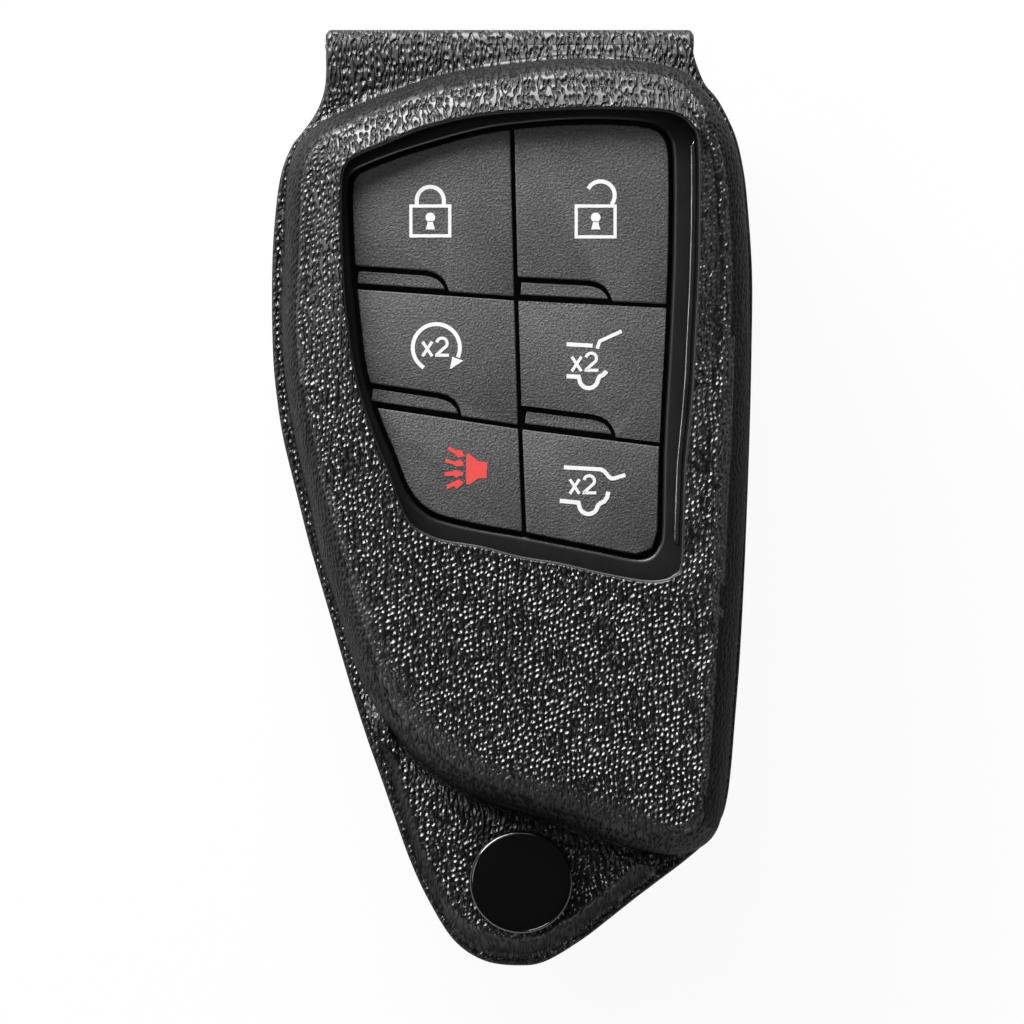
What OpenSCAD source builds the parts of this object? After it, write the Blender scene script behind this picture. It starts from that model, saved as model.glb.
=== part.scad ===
// Moulded leather key fob cover with the fob it carries, lying on its flat back.
// +Y runs to the fold, +Z to the viewer, the origin is under the middle of the back.

/* [Cover] */
// Width of the cover at its widest
cover_w = 46.6; // [43:0.1:52]
// Length of the cover from the fold to the tip of the snap tab
cover_l = 90.8; // [84:0.1:100]
// Thickness of the leather
leather_t = 1.4; // [1.2:0.05:1.6]
// Height of the parting plane above the back face
back_depth = 7; // [6.9:0.1:8]
// Height of the moulded front above the parting plane
bulge_h = 9.7; // [9.2:0.1:11]
// Gap between the two halves when the cover is shut
halves_gap = 0.2; // [0.1:0.05:0.3]
// Rounding of the cut leather edges
edge_r = 0.3; // [0.15:0.05:0.4]
// How far the tray of the back half stands inside the moulded front
tray_step = 0.6; // [0.3:0.05:1]
// How far the lower edge of the tray rolls in
tray_roll = 3; // [2:0.1:4]
// How far the right wall of the front swells past its foot
side_roll = 0.55; // [0.2:0.05:0.8]
// Least run of the moulded wall, from its foot in to its crest
wall_run = 1.2; // [1:0.05:1.4]
// How far the crowned top falls from the window to the crest
crown_drop = 0.4; // [0.2:0.05:0.5]
// How far it falls at the fold
crown_fold = 1.1; // [0.8:0.05:1.2]

/* [Snap tab] */
// Rise of the snap plateau above the rim
plateau_rise = 2.7; // [2.6:0.1:3.2]
// Width of the plateau's slope
plateau_run = 0.8; // [0.5:0.05:1.2]
// Width of the flat rim on the left of the tab
rim_left = 1.3; // [0.8:0.05:1.6]
// Width of the flat rim round the tip of the tab
rim_tip = 0.7; // [0.4:0.05:1]
// Width of the crease between the plateau and the bulge
crease_w = 0.6; // [0.4:0.05:0.9]
// Depth of the crease below the plateau
crease_d = 0.6; // [0.3:0.05:0.8]

/* [Snap] */
// Diameter of the cap
cap_d = 10; // [9:0.1:11]
// Height of the cap above the leather
cap_h = 2.3; // [1.8:0.1:2.8]
// Thickness of the cap's sheet metal
cap_t = 0.45; // [0.3:0.05:0.6]
// Outer diameter of the tubes that pass through the leather
tube_d = 3.2; // [2.8:0.1:3.4]
// Wall of those tubes
tube_t = 0.4; // [0.3:0.05:0.5]
// Outer diameter of the socket
socket_d = 8.6; // [8.2:0.1:9]
// Height of the socket
socket_h = 2.3; // [2.1:0.05:2.4]
// Outer diameter of the stud and of the rivet head behind it
stud_d = 8.4; // [8:0.1:8.8]
// Diameter of the stud's bulb
bulb_d = 3.6; // [3.4:0.05:3.7]
// Diameter of the stud's neck
neck_d = 3; // [2.8:0.05:3.1]
// Height of the stud above the leather
stud_h = 2; // [1.9:0.05:2.05]
// Wire diameter of the socket's spring
snap_wire = 0.4; // [0.3:0.05:0.45]

/* [Fob body] */
// Clearance between the fob and the leather
fob_clear = 0.3; // [0.25:0.05:0.35]
// Clearance between the fob's face and the window's leather
face_clear = 0.2; // [0.15:0.05:0.3]
// Wall of the fob's housings
fob_wall = 1.2; // [1:0.05:1.3]
// Height of the housings' joint above the cover's parting plane
split_rise = 1; // [0.8:0.05:1.2]
// Thickness of the web below the buttons
web_t = 1; // [0.8:0.05:1.2]
// Width of the bright trim strip
trim_w = 0.5; // [0.4:0.05:0.7]
// Height of the trim strip
trim_h = 1.1; // [0.8:0.1:1.4]
// How far the trim strip stands above the fob's face
trim_proud = 0.1; // [0.05:0.05:0.15]

/* [Buttons] */
// Width of the grooves between the buttons
groove = 0.4; // [0.3:0.05:0.5]
// Thickness of a button's cap
button_t = 1.5; // [1.3:0.05:1.7]
// How far the buttons stand above the fob's face
button_proud = 0.12; // [0:0.02:0.3]
// Travel of a button
travel = 0.4; // [0.3:0.05:0.5]
// Diameter of the stem under a button
stem_d = 3; // [2.6:0.1:3.4]
// Length of the ledge beside each lower row
ledge_l = 9.3; // [8.5:0.1:9.6]
// Height of that ledge's notch
ledge_h = 2; // [1.8:0.05:2.2]

/* [Works] */
// Diameter of the coin cell
cell_d = 20; // [19.8:0.1:20]
// Thickness of the coin cell
cell_t = 3.2; // [3:0.1:3.3]
// Thickness of the sheet metal of the contacts
contact_t = 0.2; // [0.15:0.05:0.25]
// Width of the contacts
contact_w = 4; // [3:0.1:5]
// Thickness of the circuit board
board_t = 0.8; // [0.6:0.1:0.9]
// Side of a switch's base
switch_w = 3.6; // [3.2:0.1:4]
// Height of a switch's base
switch_h = 1.4; // [1.2:0.05:1.5]
// Diameter of a switch's plunger
plunger_d = 1.7; // [1.5:0.05:2]
// How far a plunger stands above its base
plunger_rise = 0.5; // [0.45:0.05:0.6]
// Thickness of the keypad mat
mat_t = 0.5; // [0.4:0.05:0.7]
// Side of the aerial coil
aerial_w = 10.5; // [9:0.1:11]
// Height of the aerial coil
aerial_h = 3; // [2.6:0.1:3.1]
// Side of the control chip
chip_w = 5; // [4:0.1:5.5]
// Side of the radio chip
radio_w = 4; // [3.5:0.1:4.5]
// Height of the chips
chip_h = 0.9; // [0.7:0.05:1.1]

/* [Spare key] */
// Width of the key's blade
blade_w = 6.4; // [6:0.1:6.6]
// Length of the key's blade
blade_l = 40; // [36:0.5:42]
// Thickness of the key's blade
blade_t = 2.1; // [1.9:0.1:2.3]
// Width of the key's grip
grip_w = 8.6; // [8.2:0.1:8.8]
// Length of the key's grip
grip_l = 10.5; // [9.5:0.1:11]
// Height of the key's grip
grip_h = 3.3; // [3.1:0.05:3.5]
// Diameter of the eye in the grip
grip_eye_d = 3; // [2.5:0.1:3.2]
// Travel of the key's latch
latch_travel = 1.5; // [1.2:0.1:1.6]
// Length of the latch
latch_l = 5; // [4.5:0.1:5.5]
// Width of the latch
latch_w = 4; // [3.5:0.1:4.5]
// Height of the latch's bar
latch_h = 1.6; // [1.4:0.05:1.8]
// Outer diameter of the latch's spring
coil_d = 1.5; // [1.2:0.05:1.6]
// Wall of the latch's spring
coil_t = 0.3; // [0.2:0.05:0.35]

/* [Hidden] */

// One overrun serves every cut, and one running clearance every sliding fit
over = 0.5;
run_clear = 0.2;
round_fn = 64;
turn = 360;
quarter = 90;

// The outlines are shares of the cover's width and length, listed from the left round by the tip
hub_share = [0.01, 0.07];
rim_shares = [
    [-0.477, 0.065], [-0.466, 0.04], [-0.445, -0.003], [-0.424, -0.046], [-0.4, -0.089],
    [-0.376, -0.131], [-0.352, -0.174], [-0.327, -0.217], [-0.3, -0.26], [-0.271, -0.302],
    [-0.242, -0.345], [-0.212, -0.388], [-0.174, -0.43], [-0.121, -0.473], [-0.057, -0.495],
    [0.018, -0.5], [0.072, -0.495], [0.144, -0.473], [0.198, -0.452], [0.252, -0.43],
    [0.306, -0.409], [0.36, -0.388], [0.408, -0.366], [0.434, -0.345], [0.447, -0.324],
    [0.456, -0.29], [0.464, -0.24], [0.474, -0.174], [0.482, -0.1], [0.488, -0.03],
    [0.495, 0.07], [0.499, 0.16], [0.5, 0.24], [0.49, 0.317], [0.48, 0.356], [0.463, 0.39],
    [0.43, 0.424], [0.403, 0.441], [0.388, 0.458], [0.378, 0.475], [0.372, 0.497],
    [0.28, 0.5], [0.18, 0.5], [0.07, 0.5], [-0.04, 0.5], [-0.15, 0.5], [-0.27, 0.5],
    [-0.382, 0.497], [-0.387, 0.475], [-0.387, 0.458], [-0.389, 0.441], [-0.397, 0.424],
    [-0.413, 0.407], [-0.437, 0.39], [-0.461, 0.373], [-0.484, 0.338], [-0.497, 0.275],
    [-0.5, 0.21], [-0.497, 0.146], [-0.488, 0.1]];
foot_shares = [
    [-0.451, 0.064], [-0.422, -0.002], [-0.398, -0.062], [-0.368, -0.109], [-0.337, -0.161],
    [-0.308, -0.203], [-0.271, -0.234], [-0.22, -0.268], [-0.16, -0.296], [-0.082, -0.319],
    [0.018, -0.337], [0.092, -0.347], [0.167, -0.36], [0.267, -0.375], [0.335, -0.38],
    [0.388, -0.373], [0.424, -0.355], [0.44, -0.326], [0.449, -0.281], [0.464, -0.174],
    [0.477, -0.046], [0.486, 0.082], [0.489, 0.232], [0.481, 0.317], [0.471, 0.356],
    [0.453, 0.389], [0.424, 0.416], [0.393, 0.436], [0.366, 0.45], [0.331, 0.458],
    [0.275, 0.464], [0.2, 0.467], [0.125, 0.468], [0.022, 0.464], [-0.086, 0.457],
    [-0.159, 0.449], [-0.229, 0.437], [-0.302, 0.423], [-0.356, 0.411], [-0.41, 0.396],
    [-0.445, 0.378], [-0.464, 0.352], [-0.47, 0.326], [-0.474, 0.261], [-0.479, 0.194],
    [-0.472, 0.129]];
// Run of the moulded wall by bearing, in shares of its least run
run_shares = [[-180, 1], [-165, 1.2], [-145, 2], [-120, 2.2], [-95, 1.6], [-60, 1.5],
    [-20, 1.9], [10, 1.6], [35, 1.2], [60, 1], [90, 1], [125, 1.1], [150, 1], [180, 1]];
window_shares = [
    [-0.283, 0.067], [-0.273, 0.053], [-0.252, 0.027], [-0.231, -0.003], [-0.21, -0.026],
    [-0.18, -0.037], [-0.138, -0.045], [-0.065, -0.051], [0.018, -0.062], [0.1, -0.069],
    [0.184, -0.079], [0.267, -0.087], [0.312, -0.087], [0.337, -0.081], [0.349, -0.067],
    [0.356, 0.029], [0.37, 0.104], [0.379, 0.189], [0.385, 0.264], [0.385, 0.371],
    [0.37, 0.395], [0.333, 0.408], [0.267, 0.412], [0.184, 0.413], [0.1, 0.412],
    [-0.024, 0.408], [-0.107, 0.402], [-0.19, 0.391], [-0.262, 0.376], [-0.322, 0.363],
    [-0.343, 0.352], [-0.35, 0.333], [-0.35, 0.275], [-0.343, 0.21], [-0.335, 0.178],
    [-0.327, 0.146], [-0.31, 0.109]];
keypad_shares = [
    [-0.264, 0.068], [-0.25, 0.052], [-0.237, 0.034], [-0.221, 0.013], [-0.204, -0.001],
    [-0.181, -0.012], [-0.148, -0.021], [-0.065, -0.031], [0.026, -0.039], [0.184, -0.055],
    [0.25, -0.062], [0.283, -0.061], [0.3, -0.05], [0.306, -0.033], [0.31, 0.06],
    [0.319, 0.146], [0.325, 0.21], [0.329, 0.275], [0.329, 0.36], [0.319, 0.384],
    [0.296, 0.394], [0.258, 0.398], [0.184, 0.4], [0.1, 0.399], [-0.005, 0.394],
    [-0.065, 0.389], [-0.148, 0.378], [-0.231, 0.365], [-0.302, 0.351], [-0.329, 0.342],
    [-0.335, 0.326], [-0.333, 0.285], [-0.327, 0.232], [-0.316, 0.178], [-0.306, 0.138],
    [-0.285, 0.097]];
// Crossings of the button grid: four lines down the pad, each left, middle and right
grid_shares = [
    [[-0.376, 0.42], [-0.001, 0.42], [0.36, 0.42]],
    [[-0.376, 0.226], [0.009, 0.212], [0.36, 0.203]],
    [[-0.376, 0.105], [0.017, 0.075], [0.36, 0.053]],
    [[-0.376, -0.09], [0.03, -0.09], [0.36, -0.09]]];
// Left end of each ledge, on the two inner lines of the grid
ledge_shares = [[-0.33, 0.2243], [0.009, 0.212], [-0.302, 0.0994], [0.017, 0.075]];
// The ledge's own form, in shares of its length and height
ledge_form_shares = [[0, 0], [1, 0], [0.985, 0.2], [0.965, 0.4], [0.935, 0.6], [0.89, 0.8],
    [0.82, 0.94], [0.74, 1], [0, 1]];
// Middles of the buttons' stems: lock, unlock, start, glass, panic, liftgate
stem_shares = [[-0.169, 0.298], [0.173, 0.301], [-0.157, 0.159], [0.163, 0.152],
    [-0.097, 0.031], [0.167, 0.008]];
snap_share = [0.0187, -0.41];
// The cap's flat-topped form, in shares of its radius and height
lid_shares = [[0, 1], [0.5, 0.99], [0.75, 0.955], [0.87, 0.9], [0.94, 0.8], [0.98, 0.62], [1, 0.4], [1, 0]];
cell_share = [-0.05, -0.03];
boss_shares = [[-0.3, 0.27], [0.05, 0.36], [-0.05, 0.22], [-0.12, -0.235]];
aerial_share = [0.03, -0.2];
chip_share = [0.02, 0.255];
radio_share = [0.02, 0.1];
grip_share = [0.285, -0.225];
latch_share = [0.09, -0.253];
fold_ends_share = [-0.386, 0.377];
// The superellipse of the moulded walls, and the steps in it outside and inside
wall_power = 2.3;
wall_steps = 6;
inner_steps = 5;
// The crown's height halfway to the crest, and the corner's depth inside the wall
crown_share = 0.33;
corner_share = 0.7;
// Sines of the bearings between which the crown deepens towards the fold
deepening = [-0.1, 0.7];
// Steps of a smooth curve between two of its points
curve_steps = 4;
// Bearings from the hub between which the trim strip and the snap tab lie, and the rim narrows
trim_span = [-37, 60];
tab_span = [-135, -45];
narrowing = [-115, -95];
// Least cosine between an outline's reach and the square to its edge
least_facing = 0.5;
// Fillet at the foot of the moulded wall, in shares of its width: its middle, its end and their heights
fillet_shares = [[0.6, 0.1], [0.25, 0.35]];

hub = place(hub_share);
snap_at = place(snap_share);
lid_z = back_depth + bulge_h;
front_under = back_depth + halves_gap / 2;
rim_top = front_under + leather_t;
plateau_z = rim_top + plateau_rise;
back_upper = back_depth - halves_gap / 2;
back_under = back_upper - leather_t;
fold_r = leather_t + halves_gap / 2;
fold_y = cover_l / 2 - fold_r;
fob_back = leather_t + fob_clear;
fob_floor = fob_back + fob_wall;
fob_top = lid_z - leather_t - face_clear;
fob_split = back_depth + split_rise;
button_top = fob_top + button_proud;
button_under = button_top - button_t;
web_top = button_under - travel - run_clear;
web_under = web_top - web_t;
leaf_rise = 2 * contact_t;
cell_z = fob_floor + leaf_rise;
board_gap = 2 * contact_t;
board_z = cell_z + cell_t + board_gap;
board_top = board_z + board_t;
switch_top = board_top + switch_h;
plunger_top = switch_top + plunger_rise;
mat_under = web_under - mat_t;
pad_top = web_under + web_t / 2;
pad_d = stem_d + 2 * run_clear;
hole_d = pad_d + 3 * run_clear;

function mix(a, b, t) = a + (b - a) * t;
function ease(t) = let (u = max(0, min(1, t))) u * u * (3 - 2 * u);
function place(s) = [s[0] * cover_w, s[1] * cover_l];
function places(list) = [for (s = list) place(s)];

// A smooth closed curve through the points
function curve_at(p, i, t) =
    let (n = len(p), a = p[(i + n - 1) % n], b = p[i], c = p[(i + 1) % n], d = p[(i + 2) % n])
    b + t * ((c - a) + t * ((2 * a - 5 * b + 4 * c - d) + t * (3 * b - a - 3 * c + d))) / 2;
function curve(p, steps) =
    [for (i = [0:len(p) - 1], j = [0:steps - 1]) curve_at(p, i, j / steps)];

// Outlines as reaches from the hub, one for each bearing
function bearing(p, late) =
    let (a = atan2(p[1] - hub[1], p[0] - hub[0])) late && a < 0 ? a + turn : a;
function polar(points) =
    [for (i = [0:len(points) - 1])
        [bearing(points[i], i > len(points) / 2), norm(points[i] - hub)]];
function wrapped(t) =
    let (n = len(t)) concat([[t[n - 1][0] - turn, t[n - 1][1]]], t, [[t[0][0] + turn, t[0][1]]]);
rim_curve = polar(curve(places(rim_shares), 2));
bearings = [for (i = [0:2:len(rim_curve) - 1]) each [rim_curve[i][0], rim_curve[i + 1][0]]];
count = len(bearings);
function reaches(shares) =
    let (t = wrapped(polar(curve(places(shares), curve_steps)))) [for (b = bearings) lookup(b, t)];

function spot(r, i) = [hub[0] + r[i] * cos(bearings[i]), hub[1] + r[i] * sin(bearings[i])];
// The same outline moved in by d, measured square to the edge
function inset(r, d) = [for (i = [0:count - 1])
    let (
        step = spot(r, (i + 1) % count) - spot(r, (i + count - 1) % count),
        facing = (cos(bearings[i]) * step[1] - sin(bearings[i]) * step[0]) / norm(step)
    ) r[i] - (is_num(d) ? d : d[i]) / max(least_facing, facing)];
function ring(r, z) = [for (i = [0:count - 1]) let (p = spot(r, i)) [p[0], p[1], is_num(z) ? z : z[i]]];
function outline(r) = [for (i = [0:count - 1]) spot(r, i)];
function thin(list) = [for (i = [0:2:len(list) - 1]) list[i]];

silhouette = [for (i = [0:count - 1]) rim_curve[i][1]];
// The rim ends where the leather turns into the fold
function short_of_fold(r) = [for (i = [0:count - 1])
    sin(bearings[i]) > 0 ? min(r[i], (fold_y - hub[1]) / sin(bearings[i])) : r[i]];
rim = short_of_fold(silhouette);
rim_in = short_of_fold(inset(silhouette, edge_r));
foot = reaches(foot_shares);
crest = inset(foot, [for (b = bearings) wall_run * lookup(b > 180 ? b - turn : b, run_shares)]);
window = reaches(window_shares);
keypad = reaches(keypad_shares);

// How much of the snap tab each bearing crosses, from 0 to 1, and the width of its flat rim
tab = [for (i = [0:count - 1])
    bearings[i] > tab_span[0] && bearings[i] < tab_span[1]
        ? ease((rim[i] - foot[i] - 2 * edge_r) / plateau_rise) : 0];
tab_rim = [for (i = [0:count - 1])
    mix(rim_left, rim_tip, ease((bearings[i] - narrowing[0]) / (narrowing[1] - narrowing[0])))];
fillet = [for (i = [0:count - 1]) min(2 * edge_r, (rim[i] - foot[i]) / 2)];

function profile_in(a) = 1 - pow(cos(a), 2 / wall_power);
function profile_up(a) = pow(sin(a), 2 / wall_power);
function swell(i, up) = side_roll * sqrt(max(0, cos(bearings[i]))) * sin(2 * quarter * up);
// How far the crest lies below the window's edge
crown = [for (b = bearings)
    mix(crown_drop, crown_fold, ease((sin(b) - deepening[0]) / (deepening[1] - deepening[0])))];
// A ring of the moulded wall at profile angle a, d below the leather's outer face
function wall_ring(a, d, z0, top) =
    let (base = inset(foot, d), tip = inset(crest, d * corner_share), f = profile_in(a), h = profile_up(a))
    ring(
        [for (i = [0:count - 1]) mix(base[i], tip[i], f) + swell(i, h)],
        [for (i = [0:count - 1]) mix(z0[i], top - d - crown[i], h)]);
// A ring halfway from the crest to an inner outline, on the same crown
function crown_ring(inner, d, top) =
    let (tip = inset(crest, d * corner_share))
    ring(
        [for (i = [0:count - 1]) mix(inner[i], tip[i], 0.5)],
        [for (i = [0:count - 1]) top - d - crown[i] * crown_share]);
function tray_ring(a, d, z0, z1) =
    let (base = inset(foot, tray_step + d), low = inset(foot, tray_step + leather_t + tray_roll))
    ring([for (i = [0:count - 1]) mix(base[i], low[i], profile_in(a))], mix(z0, z1, profile_up(a)));

// Faces between two neighbouring rings, points k * n + i
function band(n, k, next) = [for (i = [0:n - 1])
    let (j = (i + 1) % n, a = k * n + i, b = k * n + j, c = next * n + j, d = next * n + i)
    each [[a, c, b], [a, d, c]]];
// A tube of rings whose last ring joins the first
module ring_loop(rings) {
    n = len(rings[0]);
    m = len(rings);
    polyhedron(
        points = [for (r = rings) each r],
        faces = [for (k = [0:m - 1]) each band(n, k, (k + 1) % m)]);
}
// A stack of rings with a flat face on its first and its last
module ring_stack(rings) {
    n = len(rings[0]);
    m = len(rings);
    polyhedron(
        points = [for (r = rings) each r],
        faces = concat(
            [for (k = [0:m - 2]) each band(n, k, k + 1)],
            [[for (i = [0:n - 1]) i]],
            [[for (i = [0:n - 1]) m * n - 1 - i]]));
}
module slab(points, z0, z1) {
    translate([0, 0, z0])
        linear_extrude(z1 - z0) polygon(points);
}
module block(centre, size, z0, z1) {
    translate([centre[0] - size[0] / 2, centre[1] - size[1] / 2, z0])
        cube([size[0], size[1], z1 - z0]);
}
module disc(centre, d, z0, z1) {
    translate([centre[0], centre[1], z0])
        cylinder(d = d, h = z1 - z0, $fn = round_fn);
}

// Leather

module front_shell() {
    rim_foot = [for (i = [0:count - 1])
        mix(foot[i] + fillet[i], rim[i] - tab_rim[i], tab[i])];
    slope_top = [for (i = [0:count - 1])
        mix(foot[i] + fillet[i] * fillet_shares[0][0], rim[i] - tab_rim[i] - plateau_run, tab[i])];
    crease_edge = [for (i = [0:count - 1])
        mix(foot[i] + fillet[i] * fillet_shares[1][0], foot[i] + crease_w, tab[i])];
    slope_z = [for (i = [0:count - 1])
        mix(rim_top + fillet[i] * fillet_shares[0][1], plateau_z, tab[i])];
    crease_z = [for (i = [0:count - 1])
        mix(rim_top + fillet[i] * fillet_shares[1][1], plateau_z, tab[i])];
    foot_z = [for (i = [0:count - 1]) mix(rim_top + fillet[i], plateau_z - crease_d, tab[i])];
    inner = inset(foot, leather_t);
    under_foot = [for (i = [0:count - 1])
        mix(inner[i] + edge_r / 2, rim_foot[i] - leather_t / 2, tab[i])];
    under_slope = [for (i = [0:count - 1])
        mix(inner[i] + edge_r / 4, slope_top[i] - leather_t / 2, tab[i])];
    under_crease = [for (i = [0:count - 1])
        mix(inner[i] + edge_r / 8, crease_edge[i], tab[i])];
    under_z = [for (i = [0:count - 1]) mix(front_under + edge_r, plateau_z - leather_t, tab[i])];
    under_crease_z = [for (i = [0:count - 1])
        mix(front_under + 2 * edge_r, plateau_z - leather_t, tab[i])];
    under_foot_z = [for (i = [0:count - 1])
        mix(front_under + leather_t, plateau_z - crease_d - leather_t, tab[i])];
    color("#1f1f21")
    difference() {
        ring_loop(concat(
            [
                ring(rim, front_under),
                ring(rim, rim_top - edge_r),
                ring(rim_in, rim_top),
                ring(rim_foot, rim_top),
                ring(slope_top, slope_z),
                ring(crease_edge, crease_z),
                ring(foot, foot_z)
            ],
            [for (k = [1:wall_steps]) wall_ring(quarter * k / wall_steps, 0, foot_z, lid_z)],
            [
                crown_ring(window, 0, lid_z),
                ring(inset(window, -edge_r), lid_z),
                ring(window, lid_z - edge_r),
                ring(window, lid_z - leather_t),
                crown_ring(window, leather_t, lid_z)
            ],
            [for (k = [inner_steps:-1:1])
                wall_ring(quarter * k / inner_steps, leather_t, under_foot_z, lid_z)],
            [
                ring(inner, under_foot_z),
                ring(under_crease, under_crease_z),
                ring(under_slope, under_z),
                ring(under_foot, front_under)
            ]));
        disc(snap_at, tube_d, rim_top, plateau_z + over);
    }
}

module back_shell() {
    inner = inset(foot, tray_step + leather_t);
    color("#1f1f21")
    difference() {
        ring_stack(concat(
            [for (k = [inner_steps:-1:0])
                tray_ring(quarter * k / inner_steps, 0, back_under, 0)],
            [
                ring(rim_in, back_under),
                ring(rim, back_under + edge_r),
                ring(rim, back_upper),
                ring(inset(inner, -edge_r), back_upper)
            ],
            [for (k = [0:inner_steps])
                tray_ring(quarter * k / inner_steps, leather_t, back_upper - edge_r, leather_t)]));
        disc(snap_at, tube_d, back_under - over, back_upper + over);
    }
}

module fold_strip() {
    x0 = fold_ends_share[0] * cover_w;
    x1 = fold_ends_share[1] * cover_w;
    color("#1f1f21")
    difference() {
        translate([x0, fold_y, back_depth])
            rotate([0, 90, 0]) cylinder(r = fold_r, h = x1 - x0, $fn = round_fn);
        translate([x0 - over, fold_y, back_depth])
            rotate([0, 90, 0]) cylinder(d = halves_gap, h = x1 - x0 + 2 * over, $fn = round_fn);
        translate([x0 - over, fold_y - 2 * fold_r, back_depth - 2 * fold_r])
            cube([x1 - x0 + 2 * over, 2 * fold_r, 4 * fold_r]);
    }
}

// Snap

module turned(z) {
    translate([snap_at[0], snap_at[1], z])
        rotate_extrude($fn = round_fn) children();
}

module lid(d, h, foot) {
    polygon(concat([for (s = lid_shares) [s[0] * d / 2, s[1] * h]], [[d / 2, -foot], [0, -foot]]));
}
module snap_cap() {
    hollow_h = cap_h - cap_t;
    hollow_d = cap_d - 2 * cap_t;
    tube_end = leather_t + cap_t;
    bore_r = tube_d / 2 - tube_t;
    color("#17171a")
    turned(plateau_z)
        difference() {
            union() {
                lid(cap_d, cap_h, 0);
                translate([bore_r, -tube_end]) square([tube_t, tube_end + tube_t]);
            }
            intersection() {
                lid(hollow_d, hollow_h, over);
                translate([tube_d / 2, -over]) square([hollow_d, hollow_h + over]);
            }
            translate([0, -over]) square([bore_r, hollow_h / 2 + over]);
        }
}

module snap_socket() {
    top = plateau_z - leather_t;
    bore_d = bulb_d + 3 * run_clear;
    seat_d = bore_d + 2 * snap_wire;
    wire_z = back_upper + stud_h / 2;
    color("#8f8f92")
    difference() {
        disc(snap_at, socket_d, top - socket_h, top);
        disc(snap_at, bore_d, top - socket_h - over, top - cap_t);
        disc(snap_at, tube_d, top - socket_h - over, top + over);
        disc(snap_at, seat_d, wire_z - snap_wire / 2, wire_z + snap_wire / 2);
        difference() {
            disc(snap_at, socket_d + over, top - socket_h - over, top - socket_h / 2);
            disc(snap_at, socket_d - 2 * cap_t, top - socket_h - 2 * over, top);
        }
    }
}

module snap_spring() {
    wire_z = back_upper + stud_h / 2;
    inner_d = neck_d + run_clear;
    outer_d = bulb_d + 3 * run_clear + snap_wire;
    color("#b9b9bc")
    difference() {
        disc(snap_at, outer_d, wire_z - snap_wire / 2, wire_z + snap_wire / 2);
        disc(snap_at, inner_d, wire_z - snap_wire, wire_z + snap_wire);
    }
}

module snap_stud() {
    bore_r = tube_d / 2 - tube_t;
    color("#8f8f92")
    turned(back_upper)
        polygon([
            [bore_r, 0], [stud_d / 2, 0], [stud_d / 2, cap_t / 2],
            [stud_d / 2 - cap_t, cap_t], [neck_d / 2 + cap_t / 4, cap_t],
            [neck_d / 2, cap_t * 3 / 2], [neck_d / 2, stud_h / 2 + snap_wire / 2],
            [bulb_d / 2, stud_h / 2 + snap_wire], [bulb_d / 2, stud_h - cap_t],
            [neck_d / 2, stud_h], [0, stud_h], [0, stud_h - cap_t / 2],
            [bore_r, stud_h - cap_t / 2]]);
}

module snap_rivet() {
    head_h = cap_t * 3 / 2;
    outer = tube_d / 2 - tube_t - run_clear / 4;
    inner = outer - tube_t;
    end = head_h + leather_t + stud_h / 2;
    color("#8f8f92")
    turned(back_under - head_h)
        polygon([
            [0, 0], [stud_d / 4, 0], [stud_d / 2 - cap_t, head_h / 2], [stud_d / 2, head_h],
            [outer, head_h], [outer, end], [inner, end], [inner, head_h / 2], [0, head_h / 2]]);
}

// Housings

module front_housing() {
    depth = leather_t + fob_clear;
    start = fob_split + tray_step;
    start_z = [for (i = [0:count - 1]) start];
    cavity = inset(foot, depth + tray_step + fob_wall);
    roof = inset(crest, depth * corner_share + fob_wall);
    roof_z = fob_top - fob_wall;
    face = inset(window, -halves_gap);
    // The roof rises over the aerial and the key, from the foot of the fob to this share of its length
    high_share = 0.43;
    color("#3b3c3f") {
        difference() {
            ring_stack(concat(
                [thin(ring(inset(foot, depth + tray_step), fob_split))],
                [for (k = [0:inner_steps])
                    thin(wall_ring(quarter * k / inner_steps, depth, start_z, fob_top + depth))],
                [
                    thin(crown_ring(face, depth, fob_top + depth)),
                    thin(ring(face, fob_top))
                ]));
            slab(thin(outline(cavity)), fob_split - over, web_under);
            intersection() {
                slab(thin(outline(roof)), web_under - over, roof_z);
                block([0, -cover_l / 2], [2 * cover_w, 2 * cover_l * high_share],
                    web_under - over, roof_z);
            }
            slab(outline(inset(keypad, -groove / 2)), web_top, fob_top + over);
            for (s = stem_shares) disc(place(s), hole_d, web_under - over, web_top + over);
            slab(trim_outline(), fob_top - trim_h + trim_proud, fob_top + over);
        }
        for (i = [0:3])
            ledge(i, groove, web_top - web_t / 4, fob_top - button_proud);
    }
}

// Points of one ledge or its notch, less a margin on each side
function ledge_outline(i, margin) =
    let (
        row = i < 2 ? 1 : 2,
        side = i % 2,
        run = place(grid_shares[row][side + 1]) - place(grid_shares[row][side]),
        along = run / norm(run),
        up = [-along[1], along[0]],
        size = [ledge_l - 2 * margin, ledge_h - 2 * margin],
        start = place(ledge_shares[i]) + (along + up) * margin
    ) [for (s = ledge_form_shares) start + along * s[0] * size[0] + up * s[1] * size[1]];
module ledge(i, margin, z0, z1) {
    slab(ledge_outline(i, margin), z0, z1);
}

function trim_outline() =
    let (
        outer = inset(window, halves_gap),
        inner = inset(window, halves_gap + trim_w),
        span = [for (i = [0:count - 1]) if (bearings[i] > trim_span[0] && bearings[i] < trim_span[1]) i],
        n = len(span)
    ) concat(
        [for (i = [0:n - 1]) spot(outer, span[i])],
        [for (i = [0:n - 1]) spot(inner, span[n - 1 - i])]);
module trim_strip() {
    color("#d5d7da")
    slab(trim_outline(), fob_top - trim_h + trim_proud, fob_top + trim_proud);
}

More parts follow.
